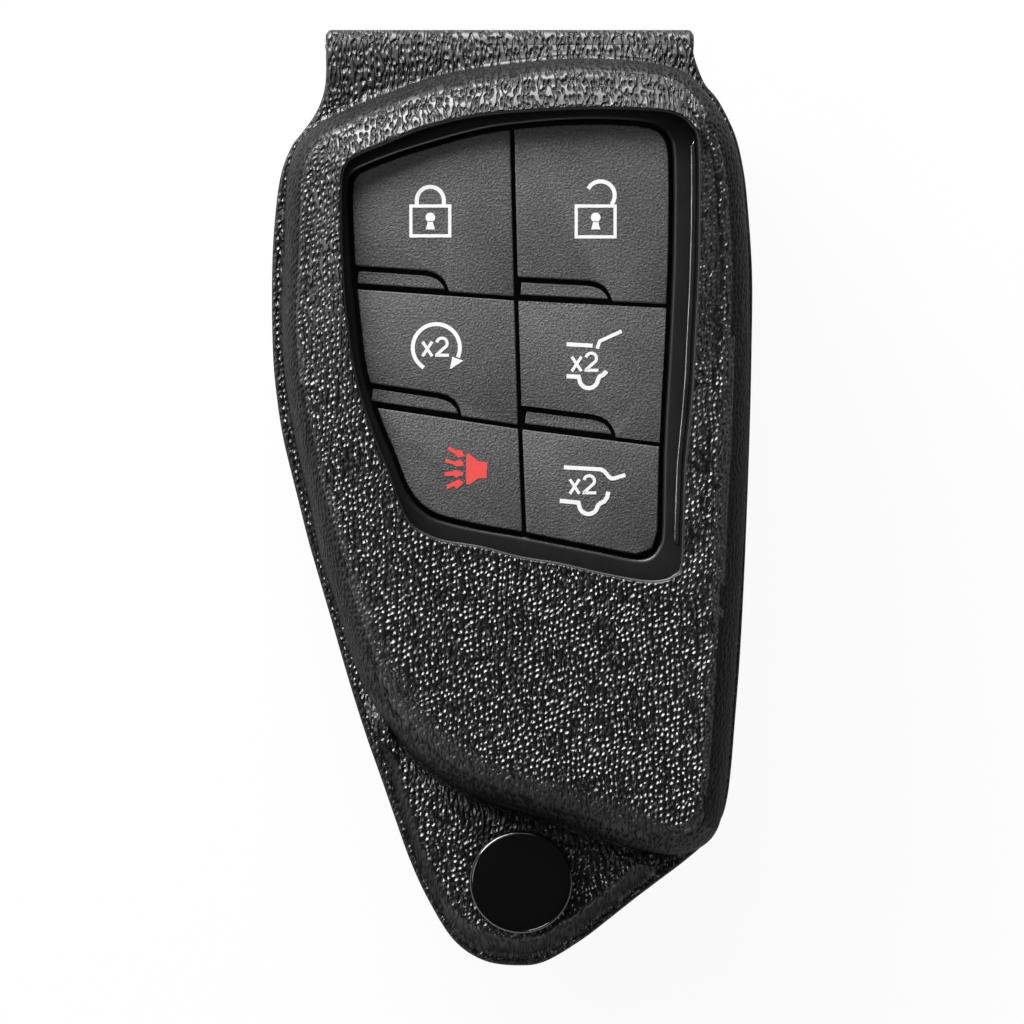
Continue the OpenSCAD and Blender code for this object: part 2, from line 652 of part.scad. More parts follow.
module rear_housing() {
    depth = leather_t + fob_clear;
    grip_at = place(grip_share);
    latch_at = place(latch_share);
    cell_at = place(cell_share);
    // The rib beside the key's blade is this share of the blade's length
    rib_share = 0.6;
    color("#2c2d2f") {
        difference() {
            union() {
                ring_stack(concat(
                    [for (k = [inner_steps:-1:0])
                        thin(tray_ring(quarter * k / inner_steps, depth, back_upper, fob_back))],
                    [
                        thin(ring(inset(foot, tray_step + depth), fob_split)),
                        thin(ring(inset(foot, tray_step + depth + fob_wall), fob_split))
                    ],
                    [for (k = [0:inner_steps])
                        thin(tray_ring(
                            quarter * k / inner_steps, depth + fob_wall, back_upper, fob_floor))]));
                for (s = boss_shares) disc(place(s), stem_d, fob_floor - over, board_z);
                difference() {
                    disc(cell_at, cell_d + 2 * run_clear + fob_wall, fob_floor - over,
                        fob_floor + cell_t / 2);
                    disc(cell_at, cell_d + 2 * run_clear, fob_floor - over,
                        fob_floor + cell_t);
                    block(cell_at, [contact_w + 2 * run_clear, 2 * cell_d], fob_floor - over,
                        fob_floor + cell_t);
                }
                block(grip_at - [blade_w / 2 + fob_wall / 2 + run_clear, -blade_l / 2],
                    [fob_wall, blade_l * rib_share], fob_floor - over, fob_floor + blade_t);
            }
            block(grip_at - [0, grip_l],
                [grip_w + 2 * run_clear, 3 * grip_l], fob_floor, fob_floor + grip_h + 2 * run_clear);
            block(latch_at - [latch_travel / 2, 0],
                [latch_l + latch_travel - 2 * run_clear, latch_w - 4 * run_clear],
                fob_back - over, fob_floor + over);
        }
    }
}

// Buttons

function button_cell(i) =
    let (r = floor(i / 2), c = i % 2)
    places([grid_shares[r + 1][c], grid_shares[r + 1][c + 1],
        grid_shares[r][c + 1], grid_shares[r][c]]);
// A convex outline with each edge moved in by d
function edges_in(p, d) = [for (i = [0:len(p) - 1])
    let (
        n = len(p),
        before = p[i] - p[(i + n - 1) % n],
        after = p[(i + 1) % n] - p[i],
        m = [-before[1], before[0]] / norm(before),
        k = [-after[1], after[0]] / norm(after)
    ) p[i] + d * (m + k) / (1 + m * k)];

module button(i) {
    at = place(stem_shares[i]);
    color("#323336")
    union() {
        difference() {
            intersection() {
                slab(outline(inset(keypad, groove / 2)), button_under, button_top);
                slab(edges_in(button_cell(i), groove / 2), button_under - over, button_top + over);
            }
            if (i < 4) slab(ledge_outline(i, -groove / 4), button_under - over, button_top + over);
        }
        disc(at, stem_d, pad_top + halves_gap / 2, button_under + button_t / 2);
    }
}
module lock_button() { button(0); }
module unlock_button() { button(1); }
module start_button() { button(2); }
module glass_button() { button(3); }
module panic_button() { button(4); }
module liftgate_button() { button(5); }

module plunger(i) {
    color("#d8d6cf")
    disc(place(stem_shares[i]), plunger_d, plunger_top - plunger_rise - travel, plunger_top);
}
module lock_plunger() { plunger(0); }
module unlock_plunger() { plunger(1); }
module start_plunger() { plunger(2); }
module glass_plunger() { plunger(3); }
module panic_plunger() { plunger(4); }
module liftgate_plunger() { plunger(5); }

module switch_bases() {
    color("#b7babd")
    for (s = stem_shares)
        difference() {
            block(place(s), [switch_w, switch_w], board_top, switch_top);
            disc(place(s), plunger_d + run_clear / 2, switch_top - 2 * travel - halves_gap / 2,
                switch_top + over);
        }
}

module keypad_mat() {
    color("#4a4c50") {
        difference() {
            slab(thin(outline(inset(keypad, -fob_wall))), board_top, web_under);
            slab(thin(outline(inset(keypad, -fob_wall / 4))), board_top - over, mat_under);
        }
        for (s = stem_shares) {
            disc(place(s), pad_d, mat_under + mat_t / 2, pad_top);
            disc(place(s), plunger_d, plunger_top + halves_gap / 2, mat_under + mat_t / 2);
        }
    }
}

// Works

module circuit_board() {
    color("#1f5a3a")
    slab(thin(outline(inset(foot, tray_step + leather_t + fob_clear + fob_wall + 2 * run_clear))),
        board_z, board_top);
}

module coin_cell() {
    at = place(cell_share);
    lip = cell_t / 8;
    color("#c6c8ca") {
        disc(at, cell_d, cell_z + lip, cell_z + cell_t);
        disc(at, cell_d - 8 * lip, cell_z, cell_z + cell_t);
    }
}

// Bent strips in the plane through the cell's middle, drawn from it outwards
module strip(side, points) {
    at = place(cell_share);
    translate([at[0] - contact_w / 2, at[1], 0])
        mirror([0, side < 0 ? 1 : 0, 0])
            rotate([90, 0, 90])
                linear_extrude(contact_w) polygon(points);
}
module minus_contact() {
    r = cell_d / 2;
    t = contact_t;
    heel = r * 2 / 3;
    post = r + fob_wall;
    color("#d9c089")
    strip(1, [
        [0, cell_z - t], [r / 3, cell_z - t], [heel, fob_floor], [post + t, fob_floor],
        [post + t, board_z], [post, board_z], [post, fob_floor + t], [heel, fob_floor + t],
        [r / 3, cell_z], [0, cell_z]]);
}
module plus_contact() {
    r = cell_d / 2;
    t = contact_t;
    post = r + run_clear;
    top = cell_z + cell_t;
    color("#d9c089")
    strip(-1, [
        [post, fob_floor + t], [post + t, fob_floor + t], [post + t, board_z], [post, board_z],
        [post, top + t], [r / 3, top + t], [r / 3, top], [post, top]]);
}

module aerial_coil() {
    at = place(aerial_share);
    core = aerial_w * 3 / 4;
    foot_w = core / 4;
    winding_d = core * 6 / 5;
    color("#6a3d22")
    union() {
        block(at, [core, core], board_top, board_top + aerial_h);
        disc(at, winding_d, board_top + aerial_h / 3, board_top + aerial_h * 4 / 5);
        for (sx = [-1, 1], sy = [-1, 1])
            block(at + [sx, sy] * (aerial_w - foot_w) / 2, [foot_w, foot_w],
                board_top, board_top + aerial_h);
    }
}
module chip(at, side) {
    color("#232428")
    block(at, [side, side], board_top, board_top + chip_h);
}
module control_chip() { chip(place(chip_share), chip_w); }
module radio_chip() { chip(place(radio_share), radio_w); }

// Spare key

module key_blade() {
    at = place(grip_share);
    z = fob_floor + run_clear;
    x0 = at[0] - blade_w / 2;
    y0 = at[1] + grip_l / 2;
    tip = y0 + blade_l;
    notch = blade_w / 8;
    groove_share = [0.9, 0.7];
    color("#c9cbce")
    difference() {
        slab([
            [x0, at[1]], [x0 + blade_w, at[1]], [x0 + blade_w, tip - blade_w / 2],
            [x0 + blade_w / 2, tip], [x0, tip - blade_w / 2]], z, z + blade_t);
        block([at[0], y0 + blade_l / 2], [blade_w / 4, blade_l * groove_share[0]],
            z + blade_t * groove_share[1], z + blade_t + over);
        for (k = [1:6])
            disc([x0, y0 + blade_l * k / 8], notch * (1 + k % 3), z - over, z + blade_t + over);
    }
}

module key_grip() {
    at = place(grip_share);
    z = fob_floor + run_clear;
    latch_at = place(latch_share);
    color("#2a2a2c")
    difference() {
        block(at, [grip_w, grip_l], z, z + grip_h);
        block([at[0], at[1] + grip_l / 2], [blade_w, grip_l], z - over, z + blade_t);
        disc(at - [0, grip_l / 4], grip_eye_d, z - over, z + grip_h + over);
        block([at[0] - grip_w / 2, latch_at[1]], [2 * latch_travel, latch_w],
            z - over, z + latch_h + run_clear);
    }
}

module key_latch() {
    at = place(latch_share);
    grip_at = place(grip_share);
    z = fob_floor;
    nose_end = grip_at[0] - grip_w / 2 + latch_travel - 2 * run_clear;
    color("#3a3a3d")
    union() {
        block(at, [latch_l, latch_w], z, z + latch_h);
        block([(at[0] + nose_end) / 2, at[1]], [nose_end - at[0], latch_w / 2],
            z + run_clear, z + latch_h);
        block(at, [latch_l - 4 * run_clear, latch_w - 6 * run_clear],
            fob_back + run_clear, z + latch_h / 2);
    }
}

module latch_spring() {
    at = place(latch_share);
    z = fob_floor + latch_h / 2;
    x0 = at[0] - latch_l / 2 - 2 * latch_travel;
    color("#b9b9bc")
    translate([x0, at[1], z])
        rotate([0, 90, 0])
            difference() {
                cylinder(d = coil_d, h = 2 * latch_travel, $fn = round_fn);
                translate([0, 0, -over])
                    cylinder(d = coil_d - 2 * coil_t, h = 2 * latch_travel + 2 * over, $fn = round_fn);
            }
}

back_shell();
front_shell();
fold_strip();
snap_cap();
snap_socket();
snap_spring();
snap_stud();
snap_rivet();
front_housing();
rear_housing();
trim_strip();
keypad_mat();
circuit_board();
switch_bases();
lock_button();
unlock_button();
start_button();
glass_button();
panic_button();
liftgate_button();
lock_plunger();
unlock_plunger();
start_plunger();
glass_plunger();
panic_plunger();
liftgate_plunger();
coin_cell();
minus_contact();
plus_contact();
aerial_coil();
control_chip();
radio_chip();
key_blade();
key_grip();
key_latch();
latch_spring();
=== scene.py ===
"""Moulded leather key fob cover and the fob it holds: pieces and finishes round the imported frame."""
import logging
import math
from collections.abc import Callable, Sequence
from dataclasses import dataclass, field
from enum import Enum

import bmesh
import bpy
import numpy as np
from bpy.types import Material, NodeSocket, Object
from mathutils import Matrix, Vector


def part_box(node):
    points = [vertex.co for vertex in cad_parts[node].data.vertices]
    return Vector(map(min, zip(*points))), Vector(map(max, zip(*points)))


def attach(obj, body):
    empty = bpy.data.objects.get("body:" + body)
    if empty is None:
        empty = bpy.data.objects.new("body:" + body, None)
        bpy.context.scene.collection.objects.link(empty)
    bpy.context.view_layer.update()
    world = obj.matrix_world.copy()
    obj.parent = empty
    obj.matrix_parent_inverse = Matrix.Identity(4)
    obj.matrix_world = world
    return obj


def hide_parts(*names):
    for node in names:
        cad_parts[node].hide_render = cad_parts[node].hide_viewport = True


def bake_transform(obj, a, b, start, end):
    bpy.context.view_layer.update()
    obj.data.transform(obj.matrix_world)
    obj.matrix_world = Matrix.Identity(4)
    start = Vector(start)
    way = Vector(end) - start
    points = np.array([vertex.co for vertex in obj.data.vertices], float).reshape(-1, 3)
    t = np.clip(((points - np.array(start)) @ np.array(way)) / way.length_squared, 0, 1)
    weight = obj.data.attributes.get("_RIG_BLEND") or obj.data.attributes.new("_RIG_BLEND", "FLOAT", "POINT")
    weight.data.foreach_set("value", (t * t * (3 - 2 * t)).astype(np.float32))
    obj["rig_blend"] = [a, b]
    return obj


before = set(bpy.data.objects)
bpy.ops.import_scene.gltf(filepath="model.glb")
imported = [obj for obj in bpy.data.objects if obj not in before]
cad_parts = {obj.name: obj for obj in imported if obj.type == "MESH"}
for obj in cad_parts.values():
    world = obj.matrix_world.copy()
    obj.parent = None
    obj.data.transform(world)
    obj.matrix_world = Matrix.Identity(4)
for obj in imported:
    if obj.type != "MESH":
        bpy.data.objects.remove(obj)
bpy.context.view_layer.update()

MM = 0.001
LOG = logging.getLogger("key_fob_cover")
KEYS = ("lock", "unlock", "start", "glass", "panic", "liftgate")
Number = np.ndarray | float
Value = NodeSocket | float
Spot = Sequence[float]
Path = Sequence[Spot]
Triple = tuple[float, float, float]

# Outlines in thousandths of the cover's width and length, from the left round by the tip
HUB = (10, 70)
RIM_OUTLINE = (
    (-477, 65), (-466, 40), (-445, -3), (-424, -46), (-400, -89), (-376, -131), (-352, -174), (-327, -217),
    (-300, -260), (-271, -302), (-242, -345), (-212, -388), (-174, -430), (-121, -473), (-57, -495),
    (18, -500), (72, -495), (144, -473), (198, -452), (252, -430), (306, -409), (360, -388), (408, -366),
    (434, -345), (447, -324), (456, -290), (464, -240), (474, -174), (482, -100), (488, -30), (495, 70),
    (499, 160), (500, 240), (490, 317), (480, 356), (463, 390), (430, 424), (403, 441), (388, 458),
    (378, 475), (372, 497), (280, 500), (180, 500), (70, 500), (-40, 500), (-150, 500), (-270, 500),
    (-382, 497), (-387, 475), (-387, 458), (-389, 441), (-397, 424), (-413, 407), (-437, 390), (-461, 373),
    (-484, 338), (-497, 275), (-500, 210), (-497, 146), (-488, 100))
FOOT_OUTLINE = (
    (-451, 64), (-422, -2), (-398, -62), (-368, -109), (-337, -161), (-308, -203), (-271, -234),
    (-220, -268), (-160, -296), (-82, -319), (18, -337), (92, -347), (167, -360), (267, -375), (335, -380),
    (388, -373), (424, -355), (440, -326), (449, -281), (464, -174), (477, -46), (486, 82), (489, 232),
    (481, 317), (471, 356), (453, 389), (424, 416), (393, 436), (366, 450), (331, 458), (275, 464),
    (200, 467), (125, 468), (22, 464), (-86, 457), (-159, 449), (-229, 437), (-302, 423), (-356, 411),
    (-410, 396), (-445, 378), (-464, 352), (-470, 326), (-474, 261), (-479, 194), (-472, 129))
WINDOW_OUTLINE = (
    (-283, 67), (-273, 53), (-252, 27), (-231, -3), (-210, -26), (-180, -37), (-138, -45), (-65, -51),
    (18, -62), (100, -69), (184, -79), (267, -87), (312, -87), (337, -81), (349, -67), (356, 29),
    (370, 104), (379, 189), (385, 264), (385, 371), (370, 395), (333, 408), (267, 412), (184, 413),
    (100, 412), (-24, 408), (-107, 402), (-190, 391), (-262, 376), (-322, 363), (-343, 352), (-350, 333),
    (-350, 275), (-343, 210), (-335, 178), (-327, 146), (-310, 109))
KEYPAD_OUTLINE = (
    (-264, 68), (-250, 52), (-237, 34), (-221, 13), (-204, -1), (-181, -12), (-148, -21), (-65, -31),
    (26, -39), (184, -55), (250, -62), (283, -61), (300, -50), (306, -33), (310, 60), (319, 146),
    (325, 210), (329, 275), (329, 360), (319, 384), (296, 394), (258, 398), (184, 400), (100, 399),
    (-5, 394), (-65, 389), (-148, 378), (-231, 365), (-302, 351), (-329, 342), (-335, 326), (-333, 285),
    (-327, 232), (-316, 178), (-306, 138), (-285, 97))
# Run of the moulded wall by bearing, in shares of its least run
RUN_SHARES = (
    (-180, 1), (-165, 1.2), (-145, 2), (-120, 2.2), (-95, 1.6), (-60, 1.5), (-20, 1.9),
    (10, 1.6), (35, 1.2), (60, 1), (90, 1), (125, 1.1), (150, 1), (180, 1))


def low(node: str) -> Vector:
    """Lowest corner of a CAD node, in millimetres."""
    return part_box(node)[0] / MM


def high(node: str) -> Vector:
    """Highest corner of a CAD node, in millimetres."""
    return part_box(node)[1] / MM


def middle(node: str) -> Vector:
    """Middle of a CAD node's box, in millimetres."""
    return (low(node) + high(node)) / 2


def radius_of(node: str) -> float:
    """Half of a CAD node's breadth, in millimetres."""
    return (high(node).x - low(node).x) / 2


def mix(a: Number, b: Number, t: Number) -> Number:
    """The value a share t of the way from a to b."""
    return a + (b - a) * t


def ease(t: Number) -> np.ndarray:
    """Smooth step of t, held between 0 and 1."""
    u = np.clip(t, 0, 1)
    return u * u * (3 - 2 * u)


def arch(angle: float, power: float) -> tuple[float, float]:
    """Shares across and up of a rounded wall's profile, at an angle in degrees from its foot."""
    turn = math.radians(angle)
    return 1 - max(math.cos(turn), 0) ** (2 / power), math.sin(turn) ** (2 / power)


def smooth_loop(points: np.ndarray, steps: int) -> np.ndarray:
    """A smooth closed curve through the points.

    Args:
        points: The points, one in a row.
        steps: Steps from one point to the next.

    Returns:
        The points of the curve, one in a row.
    """
    a, b = np.roll(points, 1, 0)[:, None], points[:, None]
    c, d = np.roll(points, -1, 0)[:, None], np.roll(points, -2, 0)[:, None]
    t = (np.arange(steps) / steps)[None, :, None]
    curve = b + t * ((c - a) + t * ((2 * a - 5 * b + 4 * c - d) + t * (3 * b - a - 3 * c + d))) / 2
    return curve.reshape(-1, points.shape[1])


class Pieces:
    """What the hands do at the bench: clean selections, edit mode and finished meshes."""

    @staticmethod
    def clear() -> None:
        """Leaves edit mode and deselects everything."""
        if bpy.context.object and bpy.context.object.mode != "OBJECT":
            bpy.ops.object.mode_set(mode="OBJECT")
        bpy.ops.object.select_all(action="DESELECT")

    @staticmethod
    def pick(piece: Object) -> None:
        """Makes one piece the active and only selected one."""
        Pieces.clear()
        piece.select_set(True)
        bpy.context.view_layer.objects.active = piece

    @staticmethod
    def edit(piece: Object) -> bmesh.types.BMesh:
        """Opens a piece in edit mode with nothing selected, and returns its mesh."""
        Pieces.pick(piece)
        bpy.ops.object.mode_set(mode="EDIT")
        bpy.ops.mesh.select_all(action="DESELECT")
        mesh = bmesh.from_edit_mesh(piece.data)
        for table in (mesh.verts, mesh.edges, mesh.faces):
            table.ensure_lookup_table()
        return mesh

    @staticmethod
    def whole(piece: Object) -> bmesh.types.BMesh:
        """Opens a piece in edit mode with all of it selected, and returns its mesh."""
        mesh = Pieces.edit(piece)
        bpy.ops.mesh.select_all(action="SELECT")
        return mesh

    @staticmethod
    def choose(piece: Object, test: Callable[[bmesh.types.BMFace], bool]) -> None:
        """Opens a piece in edit mode and selects the faces that pass a test."""
        Pieces.edit(piece)
        bpy.ops.mesh.select_mode(type="FACE")
        mesh = bmesh.from_edit_mesh(piece.data)
        for face in mesh.faces:
            face.select_set(test(face))
        mesh.select_flush_mode()
        bmesh.update_edit_mesh(piece.data)

    @staticmethod
    def leave() -> None:
        """Goes back to choosing points, and leaves edit mode."""
        bpy.ops.mesh.select_mode(type="VERT")
        bpy.ops.object.mode_set(mode="OBJECT")

    @staticmethod
    def named(name: str) -> Object:
        """Names the piece that was just added, and its mesh."""
        piece = bpy.context.object
        piece.name = name
        piece.data.name = name
        return piece

    @staticmethod
    def place(piece: Object) -> Object:
        """Puts a piece's place, turn and scale into its mesh."""
        Pieces.pick(piece)
        bpy.ops.object.transform_apply(location=True, rotation=True, scale=True)
        return piece

    @staticmethod
    def modify(piece: Object, kind: str, **settings: object) -> None:
        """Adds a modifier to a piece and applies it at once.

        Args:
            piece: The piece.
            kind: The modifier's type.
            settings: Its settings by name.
        """
        Pieces.pick(piece)
        modifier = piece.modifiers.new(kind.lower(), kind)
        for key, value in settings.items():
            setattr(modifier, key, value)
        bpy.ops.object.modifier_apply(modifier=modifier.name)

    @staticmethod
    def bevel(piece: Object, width: float, segments: int = 3, angle: float = 40) -> None:
        """Rounds a piece's sharp edges.

        Args:
            piece: The piece.
            width: Width of the rounding in millimetres.
            segments: Faces across it.
            angle: Least angle in degrees of an edge that is rounded.
        """
        Pieces.modify(piece, "BEVEL", width=width * MM, segments=segments, limit_method="ANGLE",
                      angle_limit=math.radians(angle), harden_normals=False, use_clamp_overlap=True)

    @staticmethod
    def tidy(piece: Object, angle: float = 40) -> Object:
        """Merges a closed piece's doubles, turns its faces outwards and smooths them.

        Args:
            piece: The piece.
            angle: Edges sharper than this angle in degrees stay sharp.

        Returns:
            The piece.
        """
        Pieces.whole(piece)
        bpy.ops.mesh.remove_doubles(threshold=1e-7)
        bpy.ops.mesh.normals_make_consistent(inside=False)
        bpy.ops.object.mode_set(mode="OBJECT")
        bpy.ops.object.shade_smooth_by_angle(angle=math.radians(angle))
        return piece

    @staticmethod
    def copied(node: str, name: str) -> Object:
        """A copy of a CAD node's mesh, merged and with its flat faces whole.

        Args:
            node: The CAD node.
            name: The new piece's name.

        Returns:
            The new piece.
        """
        piece = bpy.data.objects.new(name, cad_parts[node].data.copy())
        piece.data.name = name
        piece.data.materials.clear()
        bpy.context.scene.collection.objects.link(piece)
        Pieces.whole(piece)
        bpy.ops.mesh.customdata_custom_splitnormals_clear()
        bpy.ops.mesh.remove_doubles(threshold=2e-6)
        bpy.ops.mesh.dissolve_limited(angle_limit=math.radians(0.5))
        bpy.ops.mesh.normals_make_consistent(inside=False)
        bpy.ops.object.mode_set(mode="OBJECT")
        return piece

    @staticmethod
    def joined(parts: Sequence[Object], name: str) -> Object:
        """Joins several pieces into one under a name."""
        Pieces.clear()
        for part in parts:
            part.select_set(True)
        bpy.context.view_layer.objects.active = parts[0]
        bpy.ops.object.join()
        return Pieces.named(name)

    @staticmethod
    def cut(piece: Object, tool: Object) -> None:
        """Cuts a tool's shape from a piece, and throws the tool away."""
        Pieces.modify(piece, "BOOLEAN", object=tool, operation="DIFFERENCE", solver="EXACT")
        bpy.data.objects.remove(tool)

    @staticmethod
    def drum(name: str, centre: Spot, radius: float, z0: float, z1: float) -> Object:
        """A round bar standing from z0 to z1, in millimetres, to be cut with or shaped further."""
        Pieces.clear()
        bpy.ops.mesh.primitive_cylinder_add(
            vertices=64, radius=radius * MM, depth=(z1 - z0) * MM,
            location=(centre[0] * MM, centre[1] * MM, (z0 + z1) / 2 * MM))
        return Pieces.place(Pieces.named(name))

    @staticmethod
    def bar(name: str, corner: Spot, size: Spot) -> Object:
        """A square bar from its low corner and size in millimetres, to be cut with or shaped further."""
        Pieces.clear()
        bpy.ops.mesh.primitive_cube_add(
            size=1, location=[(c + s / 2) * MM for c, s in zip(corner, size)],
            scale=[s * MM for s in size])
        return Pieces.place(Pieces.named(name))

    @staticmethod
    def turned(name: str, profile: Path, centre: Spot, z: float,
               steps: int = 96) -> Object:
        """A closed profile spun round an upright axis.

        Args:
            name: The piece's name.
            profile: Radius and height of each point in millimetres, in order round the profile.
            centre: The axis's place in plan, in millimetres.
            z: Height of the profile's zero.
            steps: Steps of the spin.

        Returns:
            The piece, closed and facing outwards.
        """
        Pieces.clear()
        bpy.ops.mesh.primitive_circle_add(vertices=len(profile), radius=1)
        piece = Pieces.named(name)
        mesh = Pieces.edit(piece)
        for vert, (radius, height) in zip(mesh.verts, profile):
            vert.co = Vector(((centre[0] + radius) * MM, centre[1] * MM, (z + height) * MM))
        bmesh.update_edit_mesh(piece.data)
        bpy.ops.mesh.select_all(action="SELECT")
        bpy.ops.mesh.spin(steps=steps, angle=2 * math.pi, axis=(0, 0, 1),
                          center=(centre[0] * MM, centre[1] * MM, 0))
        return Pieces.tidy(piece)


@dataclass
class Ring:
    """One ring of a moulded skin: its points in millimetres and what its surface is."""

    points: np.ndarray
    edge: float = 0.0
    flesh: float = 0.0
    hide: np.ndarray | None = None


class Skin:
    """A skin raised ring by ring from a circle: each ring is an extrusion laid on its outline."""

    def __init__(self, name: str, rings: Sequence[Ring], closed: bool) -> None:
        """Extrudes the rings.

        Args:
            name: The piece's name.
            rings: The rings in order, all with as many points.
            closed: True if the last ring meets the first, false if both are filled flat.
        """
        Pieces.clear()
        bpy.ops.mesh.primitive_circle_add(
            vertices=len(rings[0].points), radius=1, fill_type="NOTHING" if closed else "NGON")
        self.piece = Pieces.named(name)
        mesh = Pieces.edit(self.piece)
        mesh.verts.layers.int.new("lane")
        for key in ("edge", "flesh"):
            mesh.verts.layers.float.new(key)
        mesh.verts.layers.float_vector.new("hide")
        lane = mesh.verts.layers.int["lane"]
        mesh.verts.ensure_lookup_table()
        for index, vert in enumerate(mesh.verts):
            vert[lane] = index
        bmesh.update_edit_mesh(self.piece.data)
        bpy.ops.mesh.select_all(action="SELECT")
        self._lay(rings[0])
        for ring in [*rings[1:], *([rings[0]] if closed else [])]:
            bpy.ops.mesh.extrude_region_move(TRANSFORM_OT_translate={"value": (0, 0, 0)})
            self._lay(ring)
        bpy.ops.object.mode_set(mode="OBJECT")

    def _lay(self, ring: Ring) -> None:
        """Lays the selected points on a ring's outline."""
        mesh = bmesh.from_edit_mesh(self.piece.data)
        lane = mesh.verts.layers.int["lane"]
        edge, flesh = mesh.verts.layers.float["edge"], mesh.verts.layers.float["flesh"]
        hide = mesh.verts.layers.float_vector["hide"]
        spots = ring.points[:, :2] if ring.hide is None else ring.hide
        for vert in mesh.verts:
            if vert.select:
                vert.co = ring.points[vert[lane]] * MM
                vert[edge] = ring.edge
                vert[flesh] = ring.flesh
                vert[hide] = (*(spots[vert[lane]] * MM), 0)
        bmesh.update_edit_mesh(self.piece.data)


class Plan:
    """The cover's outlines in plan, as reaches from a hub with one for each bearing."""

    def __init__(self, steps: int, width: float = 46.6, length: float = 90.8) -> None:
        """Draws the outlines.

        Args:
            steps: Steps from one point of the rim to the next.
            width: The cover's width in millimetres.
            length: The cover's length in millimetres.
        """
        self.size = np.array([width, length])
        self.hub = np.array(HUB) / 1000 * self.size
        self.bearing, self.silhouette = self._polar(RIM_OUTLINE, steps)
        self.fold_y = low("fold_strip").y
        self.fold_end = high("fold_strip").y
        self.foot = self._reaches(FOOT_OUTLINE)
        self.window = self._reaches(WINDOW_OUTLINE)
        self.keypad = self._reaches(KEYPAD_OUTLINE)
        bearings, shares = np.array(RUN_SHARES, float).T
        wrapped = np.where(self.bearing > 180, self.bearing - 360, self.bearing)
        self.run = np.interp(wrapped, bearings, shares)

    def _polar(self, outline: Path, steps: int) -> tuple[np.ndarray, np.ndarray]:
        """Bearings and reaches of a smooth outline through points in thousandths."""
        points = smooth_loop(np.array(outline) / 1000 * self.size, steps) - self.hub
        bearing = np.degrees(np.unwrap(np.arctan2(points[:, 1], points[:, 0])))
        return bearing, np.hypot(points[:, 0], points[:, 1])

    def _reaches(self, outline: Path) -> np.ndarray:
        """Reaches of an outline at the plan's own bearings."""
        bearing, reach = self._polar(outline, 12)
        xs = np.concatenate([bearing - 360, bearing, bearing + 360])
        return np.interp(self.bearing, xs, np.tile(reach, 3))

    def inset(self, reach: np.ndarray, depth: Number) -> np.ndarray:
        """The same outline moved in by a depth, measured square to the edge."""
        angle = np.radians(self.bearing)
        spots = self.spots(reach)
        step = np.roll(spots, -1, 0) - np.roll(spots, 1, 0)
        facing = (np.cos(angle) * step[:, 1] - np.sin(angle) * step[:, 0]) / np.hypot(*step.T)
        return reach - depth / np.maximum(0.5, facing)

    def short_of_fold(self, reach: np.ndarray) -> np.ndarray:
        """An outline cut off where the leather turns into the fold."""
        rise = np.sin(np.radians(self.bearing))
        limit = np.where(rise > 0, (self.fold_y - self.hub[1]) / np.maximum(rise, 1e-6), np.inf)
        return np.minimum(reach, limit)

    def spots(self, reach: np.ndarray) -> np.ndarray:
        """Points in plan of an outline."""
        angle = np.radians(self.bearing)
        return self.hub + reach[:, None] * np.stack([np.cos(angle), np.sin(angle)], 1)

    def unroll(self, rings: Sequence[Ring], outward: bool) -> None:
        """Lays rings out on the flat hide, by the leather's own length from each ring to the next.

        Args:
            rings: The rings in order; the first one lies as it does in plan.
            outward: True if they go outwards from the first.
        """
        reach = np.hypot(*(rings[0].points[:, :2] - self.hub).T)
        for before, ring in zip(rings, rings[1:]):
            step = np.linalg.norm(ring.points - before.points, axis=1)
            reach = reach + step if outward else reach - step
            ring.hide = self.spots(reach)

    def ring(self, reach: np.ndarray, z: Number) -> np.ndarray:
        """Points in space of an outline at a height, or at a height for each bearing."""
        return np.column_stack([self.spots(reach), np.broadcast_to(z, reach.shape)])


